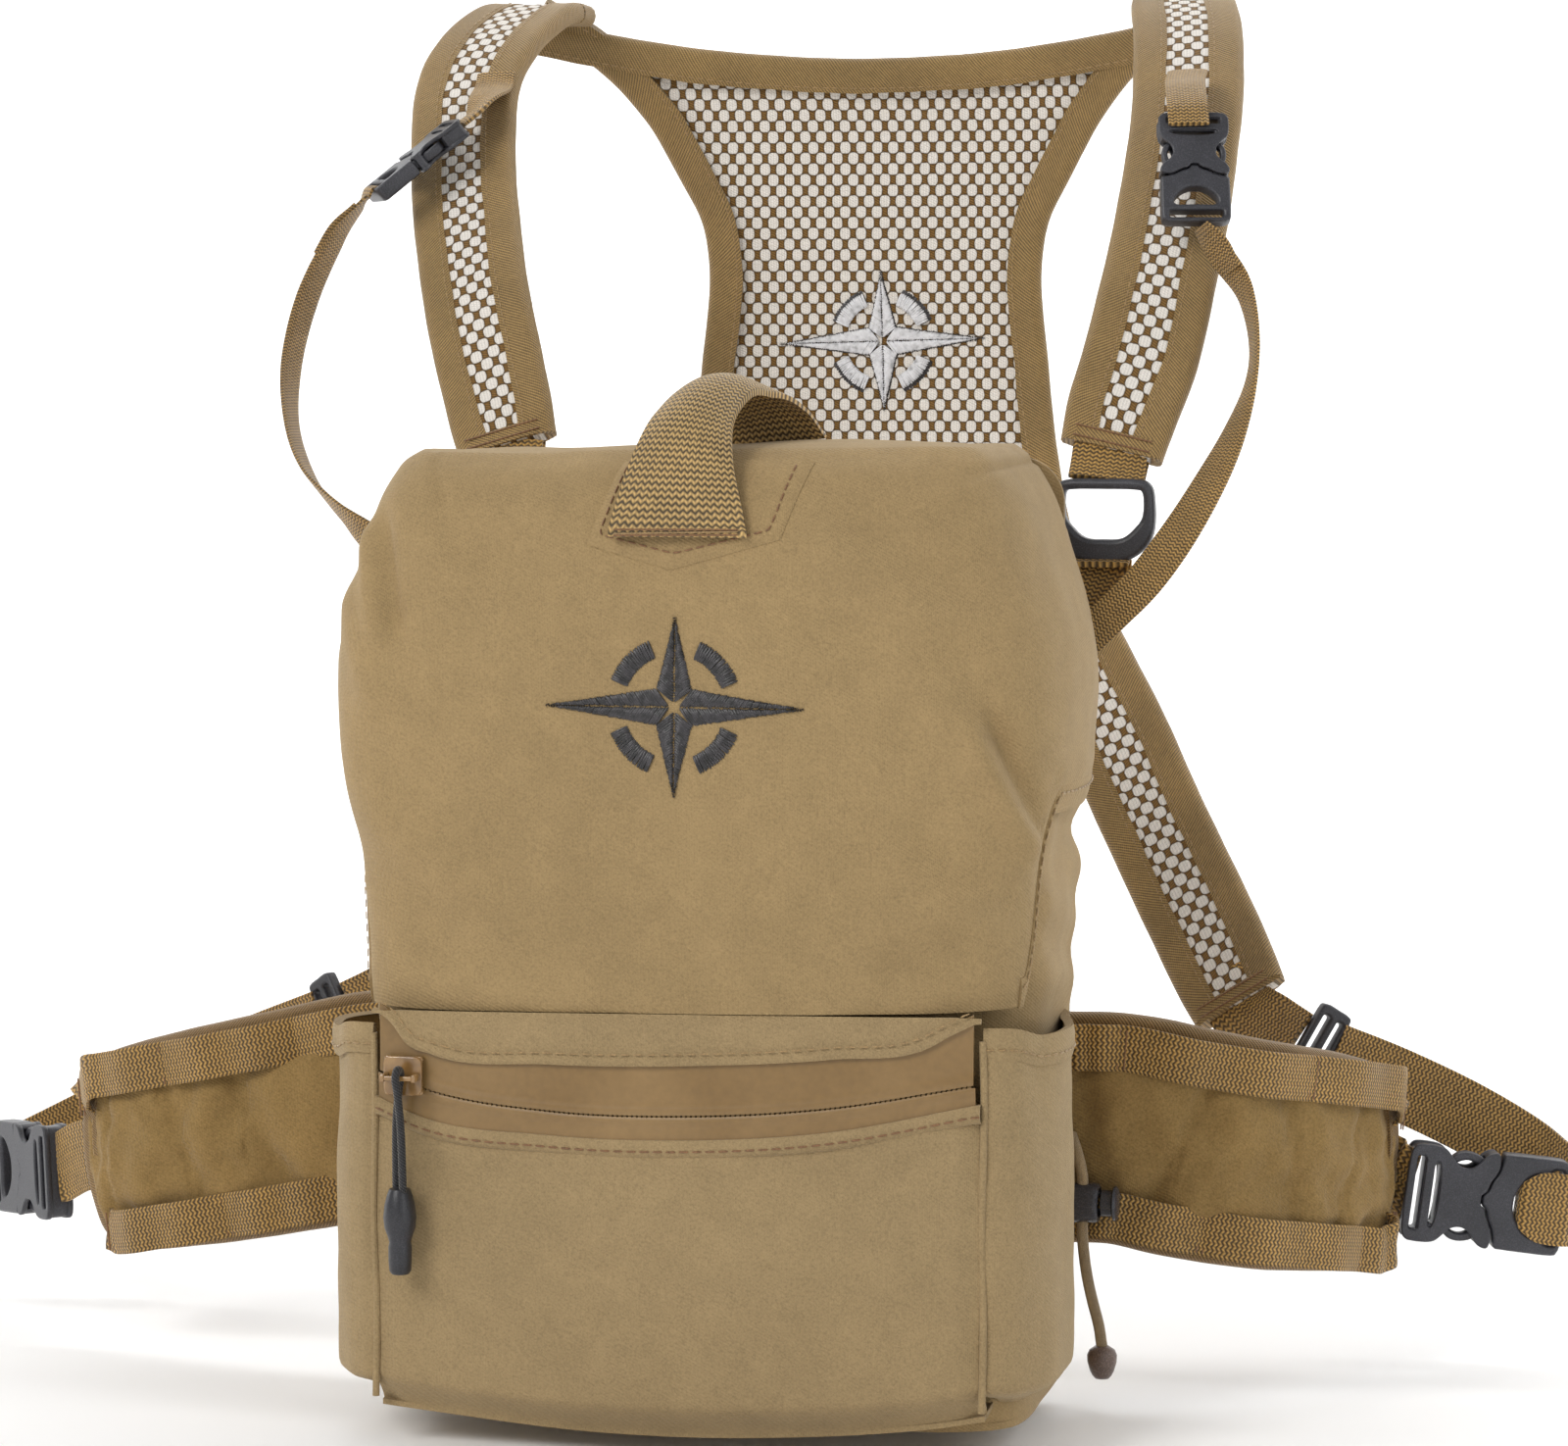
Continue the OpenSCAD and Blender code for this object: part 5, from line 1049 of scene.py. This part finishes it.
for tag, p, w in (("right", TTR, TWR), ("left", TTL, TWL)):
    t_ob = strap("tether_%s_v" % tag, p, w, 10, 1.5, WEBN, n=170, cols=6, rim=0.45)
    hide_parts("tether_webbing_" + tag)
    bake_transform(t_ob)
    # folded and sewn end behind the buckle
    k_ = len(p) - 9; c_ = arr(p[k_:k_ + 3]); d_off = arr([0.6, -1.0, 0.2]) if tag == "right" else arr([-0.8, -1.1, 0])
    e_ob = strap("tether_fold_%s" % tag, [c_[0] + d_off, lerp(c_[0], c_[1], 0.7) + d_off * 1.1, lerp(c_[1], c_[2], 0.35) + d_off * 0.9], w[k_:k_ + 3], 10.2, 1.3, WEBN, n=24, cols=6)
    finish_piece(e_ob, "tether_clip_" + tag)
TABL_ = [[-99.4, 60.6, 208.6], [-95.4, 63, 212.3], [-94.5, 70, 216.6], [-95.5, 81.4, 220], [-96, 86, 224]]
web("tether_tab_left_v", TABL_, [[0.5, -0.87, 0], [0.5, -0.87, 0], [0.8, -0.5, 0], [1, 0, 0], [1, 0, 0]], 11, 1.7, node="tether_tab_left", mat=WEBN)
web("tether_tab_right_v", [[110.4, 41, 206.5], [109.4, 44.5, 212], [107.6, 54, 217], [106.2, 64, 219.4], [105.5, 74, 222]], [[0.95, 0.3, 0.1]] * 5, 11, 1.7, node="tether_tab_right", mat=WEBN)

# ------------------------------------------------------------------ pull handle and its patch
uu, vv = np.meshgrid(np.linspace(0, 1, 41), np.linspace(0, 1, 33))
zb = np.interp(uu, [0, 0.44, 1], [98.2, 92.2, 100.0]); zt = np.interp(uu, [0, 1], [118.2, 118.8])
Q = np.stack([lerp(lerp(-15.5, 33.5, uu), lerp(-22.5, 27, uu), vv), 0 * uu, lerp(zt, zb, vv)], -1)
pp_, pn_ = drop(ltree, Q.reshape(-1, 3)); PA = pp_.reshape(Q.shape); PB = pn_.reshape(Q.shape)
ed = np.minimum(np.minimum(uu, 1 - uu) * 44, (1 - vv) * 19)
PA = PA + PB * (0.25 + 0.85 * sstep(0, 2.4, ed) + 0.25 * np.exp(-((ed - 2.2) / 1.2) ** 2))[..., None]
ob = fixn(slab("handle_patch_cloth", PA, 0.9, SOFT, N=PB)); finish_piece(ob, "lid", ["handle_patch"])
patch_tree = caster(ob)
def grid_path(pts, n=60):
    q = []
    for (a, b) in pts:
        fa, fb = b * 32, a * 40; i, j = int(min(31, fa)), int(min(39, fb)); q.append(PA[i, j] + PB[i, j] * 0.15)
    return arr(q), None
line = [(0.07, v) for v in np.linspace(0.02, 0.86, 24)] + [(u, 0.87) for u in np.linspace(0.09, 0.91, 34)] + [(0.93, v) for v in np.linspace(0.86, 0.02, 24)]
gp, _ = grid_path(line); gn = arr([PB[int(min(31, b * 32)), int(min(39, a * 40))] for a, b in line])
threads("handle_patch_stitch", gp, gn, THR_D, pitch=3.0, length=2.2, w=0.5, h=0.35, body="lid")

HP = [[1.6, -97.3, 100.6], [1.6, -96.9, 105], [2.0, -94.5, 119.5], [3.2, -87, 132.5], [6, -73.5, 140.6], [9, -58, 139.2], [12, -47.5, 132], [13.5, -42.5, 122.6]]
HWD = [35, 33.5, 26, 20.5, 18.5, 19, 24, 30]; HK = [0.0, 0.3, 1.6, 3.6, 4.6, 4.2, 2.6, 0.6]
n = 110; s = np.linspace(0, 1, n); c, T, W, N = route(HP, [1, 0.05, 0], s); N = N * np.sign((N[0] * arr([0, -1, 0])).sum())
wd = cr(HWD, s); kk = cr(HK, s); a = np.linspace(-0.5, 0.5, 25); le = np.concatenate([[0], np.cumsum(np.linalg.norm(np.diff(c, axis=0), axis=1))])
G = c[:, None] + W[:, None] * (a[None, :, None] * wd[:, None, None]) - N[:, None] * (kk[:, None] * (2 * np.abs(a[None])) ** 2.2)[..., None]
G += N[:, None] * (0.35 * fields(G, 12, 6.6).reshape(G.shape[:2]))[..., None]
uvh = np.stack([np.repeat(le[:, None], 25, 1), a[None] * 34 + 0 * le[:, None]], -1) * MM
ob = fixn(slab("pull_handle_webbing", G, 1.5, WEBH, uv=uvh, N=np.repeat(N[:, None], 25, 1))); finish_piece(ob, "lid", ["pull_handle"])
for k_i in (2, 5, 9):
    threads("handle_bartack%d" % k_i, G[k_i, 1:-1] + N[k_i] * 0.1, N[k_i], THR_D if k_i != 5 else THR, pitch=1.3, length=1.8, w=0.45, h=0.3, body="lid")

# ------------------------------------------------------------------ embroidery
def satin(name, railA, railB, mat, tree, d=(0, 1, 0), start=(0, -0.2, 0), pitch=0.62, w=0.72, h=0.75, body="lid", slot="webbing", base=0.0, seed=0):
    """Satin stitch: one raised thread after another between two rails in x, z (mm)."""
    A, B = arr(railA), arr(railB)
    L = np.concatenate([[0], np.cumsum(np.hypot(*np.diff((A + B) / 2, axis=0).T))])
    tt = np.arange(pitch / 2, L[-1], pitch); V, F = [], []
    rs = np.random.RandomState(17 + seed)
    for q in tt:
        a = arr([np.interp(q, L, A[:, i]) for i in (0, 1)]) + rs.uniform(-0.12, 0.12, 2); b = arr([np.interp(q, L, B[:, i]) for i in (0, 1)]) + rs.uniform(-0.12, 0.12, 2)
        pts = arr([lerp(a, b, t) for t in (0, 0.12, 0.5, 0.88, 1)]); P3 = np.stack([pts[:, 0], np.zeros(5), pts[:, 1]], 1)
        pos, nor = drop(tree, P3, d, start)
        T = unit((pos[-1] - pos[0]) + 1e-9); m0 = len(V)
        for i, up in enumerate((0.0, 0.7, 1.0, 0.7, 0.0)):
            S = unit(np.cross(T, nor[i])); wi = w * (0.55 if i in (0, 4) else 1.0); o = pos[i] + nor[i] * (base + up * h * 0.6)
            V += [o - S * wi / 2 - nor[i] * 0.25, o - S * wi * 0.38 + nor[i] * h * 0.3, o + nor[i] * h * 0.42, o + S * wi * 0.38 + nor[i] * h * 0.3, o + S * wi / 2 - nor[i] * 0.25]
        for r in range(4):
            for j in range(5):
                F.append((m0 + r * 5 + j, m0 + r * 5 + (j + 1) % 5, m0 + (r + 1) * 5 + (j + 1) % 5, m0 + (r + 1) * 5 + j))
        F.append(tuple(m0 + j for j in range(5))[::-1]); F.append(tuple(m0 + 20 + j for j in range(5)))
    ob = fixn(make(name, V, F, mat, angle=50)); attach(ob, body)
    return ob

def emblem(tag, cx, cz, k, mat, tree, tilt=0.0, **kw):
    """Compass rose: four faceted points through a broken ring. Overall 67 x 45 at k = 1."""
    ct, st_ = math.cos(tilt), math.sin(tilt)
    f = lambda x, z: (cx + k * (x * ct - z * st_), cz + k * (x * st_ + z * ct))
    arms = [(33.5, 0, 4.6), (-33.5, 0, 4.6), (0, 22.5, 4.6), (0, -22.5, 4.6)]; i = 0
    for (tx, tz, b) in arms:
        L = math.hypot(tx, tz); dx, dz = tx / L, tz / L
        for sg in (-1, 1):
            nx_, nz__ = -dz * sg, dx * sg
            q = np.linspace(0, 1, 12)
            A = [f(dx * (1.2 + (L - 1.2) * t), dz * (1.2 + (L - 1.2) * t)) for t in q]
            B = [f(dx * (b + (L - b) * t) + nx_ * b * (1 - t), dz * (b + (L - b) * t) + nz__ * b * (1 - t)) for t in q]
            A = [(a_[0] + nx_ * 0.15 * k, a_[1] + nz__ * 0.15 * k) for a_ in A]
            satin("emblem_%s_arm%d" % (tag, i), A, B, mat, tree, seed=i, **kw); i += 1
    for j, (a0, a1) in enumerate(((22, 68), (112, 158), (202, 248), (292, 338))):
        an = np.radians(np.linspace(a0, a1, 20))
        satin("emblem_%s_ring%d" % (tag, j), [f(13.0 * math.cos(x), 13.0 * math.sin(x)) for x in an], [f(17.8 * math.cos(x), 17.8 * math.sin(x)) for x in an], mat, tree, seed=20 + j, **kw)
emblem("lid", 0.5, 58.0, 1.0, EMB_B, ltree)
ytree = caster(yk)
emblem("yoke_edge", 1.8, 147.0, 0.93, EMB_B, ytree, tilt=0.03, w=1.15, h=0.35, pitch=0.8)
emblem("yoke", 1.8, 147.0, 0.87, EMB_G, ytree, tilt=0.03, base=0.55)
for o_ in list(bpy.data.objects):
    if o_.name.startswith("emblem_yoke"):
        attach(o_, "root")

# ------------------------------------------------------------------ CAD parts that stay, with their finish
KEEP = {"back_stiffener": PLAS, "elastic": CORDT, "zipper_slider": SLID, "zip_pull_sleeve": RUB, "cord_lock": PLAS, "spring": STEEL}
for nm, o_ in frame["nodes"].items():
    m_ = PLAS
    for key, v_ in KEEP.items():
        if key in nm:
            m_ = v_
    if nm == "zip_pull_cord":
        m_ = CORDB
    if nm == "cord_lock_spring":
        m_ = STEEL
    o_.data.materials.clear(); o_.data.materials.append(m_)

# ------------------------------------------------------------------ moulded parts
def plate2d(loops, half_t, bevel, yc=0.0):
    """Bevelled plate from closed outlines in x, z (mm); returns verts (mm, local) and faces. The first loop is the outline, the rest are holes."""
    cu = bpy.data.curves.new("tmp_plate", "CURVE"); cu.dimensions = "2D"; cu.fill_mode = "BOTH"
    cu.extrude = (half_t - bevel) * MM; cu.bevel_depth = bevel * MM; cu.bevel_resolution = 2; cu.offset = -bevel * MM
    for lp in loops:
        sp = cu.splines.new("POLY"); sp.use_cyclic_u = True; sp.points.add(len(lp) - 1)
        for q, (x, z) in zip(sp.points, lp):
            q.co = (x * MM, z * MM, 0, 1)
    ob = bpy.data.objects.new("tmp_plate", cu); bpy.context.scene.collection.objects.link(ob)
    dg = bpy.context.evaluated_depsgraph_get(); me = bpy.data.meshes.new_from_object(ob.evaluated_get(dg))
    V = arr([v.co[:] for v in me.vertices]) / MM; F = [tuple(p.vertices) for p in me.polygons]
    bpy.data.objects.remove(ob); bpy.data.curves.remove(cu); bpy.data.meshes.remove(me)
    return np.stack([V[:, 0], yc - V[:, 2], V[:, 1]], 1), F

def rotm(a):
    x, y, z = [math.radians(q) for q in a]
    return np.array(Matrix.Rotation(z, 3, "Z") @ Matrix.Rotation(y, 3, "Y") @ Matrix.Rotation(x, 3, "X"))

def sym(half):
    """Closed outline from its upper half (z >= 0, first and last points on z = 0)."""
    return half + [(x, -z) for x, z in half[::-1] if abs(z) > 1e-6]

def smooth_loop(pts, n=5):
    p = arr(pts); m = len(p); out = []
    for i in range(m):
        a, b, c, d = p[i - 1], p[i], p[(i + 1) % m], p[(i + 2) % m]
        for k in range(n):
            t = k / n; out.append(tuple(0.5 * (2 * b + (c - a) * t + (2 * a - 5 * b + 4 * c - d) * t * t + (3 * b - a - 3 * c + d) * t ** 3)))
    return out

def rloop(x0, x1, z0, z1, r, n=4):
    out = []
    for cx, cz, a0 in ((x1 - r, z1 - r, 0), (x0 + r, z1 - r, 90), (x0 + r, z0 + r, 180), (x1 - r, z0 + r, 270)):
        for k in range(n + 1):
            a = math.radians(a0 + 90 * k / n); out.append((cx + r * math.cos(a), cz + r * math.sin(a)))
    return out

def assemble(name, parts, at, ang, s=1.0, half=False, mat=None, body="root", node=None):
    V = []; F = []; o = 0
    for v, f in parts:
        V.append(v); F += [tuple(i + o for i in q) for q in f]; o += len(v)
    V = np.vstack(V)
    if half:
        V = V * arr([-1, 1, -1]) + arr([7, 0, 0])
    V = (V * s) @ rotm(ang).T + arr(at)
    ob = fixn(make(name, V, F, mat or PLAS, angle=32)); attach(ob, body)
    if node:
        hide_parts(node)
    return ob

SEAM = [(4.8, 0), (4.7, 1.3), (3.4, 2.6), (2.7, 5.0), (1.3, 7.6), (0.7, 9.6), (0.9, 12.2)]
def female():
    up = [(26, 0), (26, 8), (25.6, 11.4), (24.3, 13.2), (22, 13.6), (18.5, 13.5), (16.2, 12.9), (14.4, 11.2), (12.6, 9.2), (10.4, 8.3), (8.2, 8.6), (6.2, 10.2), (4.9, 12.0), (3.2, 13.1), (1.6, 13.3)] + SEAM[::-1]
    o = smooth_loop(sym(up), 3)
    s1 = rloop(21.3, 23.9, -10.4, 10.4, 0.9); s2 = smooth_loop([(16.6, 0), (16.8, 5), (17.5, 8.9), (18.6, 8.6), (18.9, 4), (19, 0), (18.9, -4), (18.6, -8.6), (17.5, -8.9), (16.8, -5)], 3)
    rear = smooth_loop(sym([(25.6, 0), (25.6, 8), (25.2, 11), (24, 12.8), (22, 13.2), (18.5, 13.1), (16.4, 12.6), (15.2, 11.4), (15.1, 6), (15.1, 0)]), 3)
    b1 = rloop(21.6, 23.6, -10.1, 10.1, 0.7); b2 = rloop(16.9, 18.5, -8.3, 8.3, 0.7)
    lips = [plate2d([smooth_loop([(1.2, q * 11.4), (1.2, q * 13.1), (3.3, q * 12.9), (4.6, q * 11.7), (3.4, q * 11.3)], 3)], 3.2, 0.4) for q in (1, -1)]
    return [plate2d([o, s1, s2], 0.85, 0.5, 3.1), plate2d([o, s1, s2], 0.85, 0.5, -3.1), plate2d([rear, b1, b2], 3.0, 0.6)] + lips
def male(window=True):
    sm = [(x - 0.5, z) for x, z in SEAM]
    up = [(-19, 0), (-19, 9.5), (-18.4, 12.2), (-16.8, 13.3), (-9, 13.4), (-3, 13.3), (-0.6, 12.9)] + sm[::-1][1:]
    o = smooth_loop(sym(up), 3); hl = [rloop(-17.3, -14.3, -10.4, 10.4, 1.0)]
    hl.append(smooth_loop(sym([(-11.9, 0), (-11.9, 7.6), (-9.4, 8.2), (-6.4, 5.6), (-4.9, 2.8), (-4.5, 0)]), 3))
    P_ = [plate2d([o] + hl, 3.3, 0.95)]
    for q in (1, -1):
        ou = [(0.5, 9.4), (3.5, 10.2), (6.4, 11.9), (9.6, 12.5), (12.4, 11.8), (14.1, 9.9), (13.2, 8.8), (11.2, 9.8), (9.3, 10.2), (7.2, 9.6), (4.6, 8.0), (1.5, 7.2), (-1, 7.2), (-1, 9.2)]
        P_.append(plate2d([smooth_loop([(x, q * z) for x, z in ou], 3)], 1.9, 0.7))
    P_.append(plate2d([rloop(1, 13.5, -1.5, 1.5, 0.8)], 1.5, 0.4))
    return P_
WBR, WBRA, WBL, WBLA = [187.6, 65, -87.5], [0, 7.5, 15.3], [-224.6, 43.6, -92], [0, 6, 132.4]
TBR, TBRA, TBL, TBLA = [112, 40.5, 192], [90, -68, 104], [-112.3, 53.2, 196.7], [90, -38.6, 30]
for tag, at, an in (("right", WBR, WBRA), ("left", WBL, WBLA)):
    assemble("waist_female_" + tag, female(), at, an, 1.0, True, node="waist_buckle_female_" + tag)
    assemble("waist_male_" + tag, male(), at, an, 1.0, True, body="waist_clip_" + tag, node="waist_buckle_male_" + tag)
for tag, at, an in (("right", TBR, TBRA), ("left", TBL, TBLA)):
    assemble("tether_female_" + tag, female(), at, an, 0.7, node="tether_buckle_female_" + tag)
    assemble("tether_male_" + tag, male(), at, an, 0.7, body="tether_clip_" + tag, node="tether_buckle_male_" + tag)

# webbing wrapped round the buckle bars
def in_frame(pts, at, an, s=1.0, half=False):
    p = arr(pts)
    if half:
        p = p * arr([-1, 1, -1]) + arr([7, 0, 0])
    return (p * s) @ rotm(an).T + arr(at)
for tag, at, an in (("right", WBR, WBRA), ("left", WBL, WBLA)):
    # turned end seen through the male half's window, over its outer bar
    p = in_frame([[-24.5, -0.6, 0], [-20.6, -3.4, 0], [-18.2, -4.6, 0], [-14.5, -4.5, 0], [-11.0, -4.3, 0], [-7.8, -3.9, 0], [-6.6, -2.2, 0], [-6.4, 1.5, 0]], at, an, 1.0, True)
    w0 = in_frame([[0, 0, 1], [0, 0, 0]], at, an, 1.0, True)
    ob = strap("waist_turn_" + tag, p, unit(w0[0] - w0[1]), [20, 20, 20, 20, 19, 15, 12, 12], 1.5, WEB, n=50, cols=8, rim=0.45)
    finish_piece(ob, "waist_clip_" + tag)

# shoulder adjuster rings
for tag, at in (("right", [93, 8, 101]), ("left", [-73, 8, 101])):
    o = smooth_loop([(-12.6, 9.2), (-13.5, 5), (-13.5, -2), (-11.5, -7), (-6.5, -10.6), (0, -11.4), (6.5, -10.6), (11.5, -7), (13.5, -2), (13.5, 5), (12.6, 9.2), (9.5, 10.9), (0, 11.1), (-9.5, 10.9)], 4)
    h = smooth_loop([(-10.3, 7.2), (-10.4, 1.5), (-8.6, -1.6), (-5.0, -4.6), (0, -5.0), (5.0, -4.6), (8.6, -1.6), (10.4, 1.5), (10.3, 7.2), (8, 8.2), (0, 8.3), (-8, 8.2)], 4)
    v, f = plate2d([o, h], 2.6, 1.25); assemble("adjuster_" + tag, [(v, f)], at, [0, 0, 0], node="shoulder_adjuster_" + tag)

# ladder locks
for k, tag in ((1, "right"), (-1, "left")):
    o = smooth_loop(sym([(-5, 0), (-5, 11), (-4, 13.4), (0, 13.6), (4, 13.4), (5, 11), (5, 0)]), 3)
    v, f = plate2d([o, rloop(-3.4, -1.0, -10.6, 10.6, 0.8), rloop(1.2, 3.4, -10.6, 10.6, 0.8)], 1.9, 0.8)
    v = v @ rotm([0, 32, 30]).T + arr([142.6, 75.6, -50.2]); v = v * arr([k, 1, 1])
    ob = fixn(make("ladder_lock_v_" + tag, v, f, PLAS, angle=32)); finish_piece(ob, "root", ["ladder_lock_" + tag])

# cord lock
prof = [(-6.6, 2.4), (-6.6, 4.2), (-6.0, 5.0), (-4.6, 5.35), (-2.5, 5.1), (-1.2, 5.35), (1.4, 5.1), (3.2, 5.35), (4.3, 5.1), (4.6, 4.7), (4.6, 4.1), (4.3, 3.85), (0.6, 3.85), (0.6, 0.4)]
RX = np.array(Matrix.Rotation(math.radians(90), 3, "Y"))
ob = lathe("cord_lock_barrel", prof, PLAS_G, rot=RX, at=(91, -11, -79), m=40); finish_piece(ob, "root", ["cord_lock_body"])
ob = lathe("cord_lock_cap", [(5.1, 3.3), (5.3, 3.55), (8.1, 3.55), (8.25, 4.4), (8.6, 4.7), (9.2, 4.5), (9.6, 3.4), (9.7, 0.5)], PLAS_G, rot=RX, at=(91, -11, -79), m=40); finish_piece(ob, "cord_lock_button", ["cord_lock_button"])

# zip pull
SL = arr([-70, 0, -37])
PPV = arr([[-1.3, -99.95, -30], [-1.3, -99.95, -14], [-0.6, -99.95, -4], [0, -100.05, 0.2], [0, -101.2, 1.95], [0, -103.3, 1.95], [0, -104.5, 0], [0.6, -104.6, -4], [1.3, -104.2, -14], [1.3, -102.8, -30]]) + SL
ob = tube("zip_cord_v", PPV, 1.05, CORDB, m=12, n=90); finish_piece(ob, "zip_pull", ["zip_pull_cord"])
ob = lathe("zip_bulb", [(-65.0, 1.6), (-65.4, 2.7), (-67, 3.3), (-69.4, 3.9), (-72.5, 4.25), (-75.2, 4.0), (-77.4, 3.2), (-79, 2.75), (-80.2, 3.0), (-83.5, 3.0), (-86.4, 2.8), (-87.2, 2.2), (-87.4, 0.6)], RUB, at=(-70, -101.4, 0), m=32)
finish_piece(ob, "zip_pull", ["zip_pull_sleeve"])
sv = [plate2d([rloop(-5, 5, -5, 5, 1.8)], 0.7, 0.3, -97.65), plate2d([rloop(-4.6, 4.6, -0.6, 0.6, 0.5)], 0.6, 0.25, -102.2)]
sv += [(q[0] + arr([sx * 4.1, 0, 0]), q[1]) for sx in (-1, 1) for q in [plate2d([rloop(-0.6, 0.6, -1.0, 1.0, 0.4)], 2.4, 0.3, -100.6)]]
sv += [plate2d([rloop(-5, 5, 3.3, 5, 0.6)], 0.9, 0.3, -96.6), plate2d([rloop(-5, 5, -5, -3.3, 0.6)], 0.9, 0.3, -96.6)]
assemble("slider_v", sv, SL, [0, 0, 0], mat=SLID, body="zip_slider", node="zipper_slider")

# ------------------------------------------------------------------ stage
def plane(name, co, mat):
    me = bpy.data.meshes.new(name); me.from_pydata(co, [], [tuple(range(4))]); me.update(); me.materials.append(mat)
    ob = bpy.data.objects.new(name, me); bpy.context.scene.collection.objects.link(ob); return ob
k_ = Mat("stage_white", rough=0.9, spec=0.1); STG = k_.out((0.93, 0.93, 0.93))
Z0 = -0.1345
floor = plane("stage_floor", [(-5, -4, Z0), (5, -4, Z0), (5, 4, Z0), (-5, 4, Z0)], STG)
wall = plane("stage_wall", [(-5, 2.2, Z0), (5, 2.2, Z0), (5, 2.2, 4), (-5, 2.2, 4)], STG)
def area(name, at, to, size, power, col=(1, 1, 1)):
    l = bpy.data.lights.new(name, "AREA"); l.shape = "RECTANGLE"; l.size, l.size_y = size; l.energy = power; l.color = col
    ob = bpy.data.objects.new(name, l); bpy.context.scene.collection.objects.link(ob)
    ob.location = at; ob.rotation_mode = "QUATERNION"; ob.rotation_quaternion = (Vector(to) - Vector(at)).to_track_quat("-Z", "Y")
area("key", (-0.9, -1.7, 1.3), (0, 0, 0.03), (0.9, 0.9), 24, (1, 0.99, 0.97))
area("fill", (1.6, -1.5, 0.5), (0, 0, 0.03), (1.0, 1.4), 5.5, (0.97, 0.99, 1))
area("rim_right", (1.5, 0.5, 0.9), (0, 0, 0.05), (0.8, 1.2), 7)
area("rim_left", (-1.6, 0.4, 0.6), (0, 0, 0.05), (0.8, 1.2), 6)
w = bpy.data.worlds.new("stage_world"); bpy.context.scene.world = w; w.use_nodes = True
w.node_tree.nodes["Background"].inputs[0].default_value = (1, 1, 1, 1); w.node_tree.nodes["Background"].inputs[1].default_value = 0.5
area("backlight", (0, 1.0, 1.6), (0, 2.2, 0.2), (3.0, 0.6), 45)
bpy.context.scene.view_settings.view_transform = "Standard"

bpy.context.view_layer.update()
import json
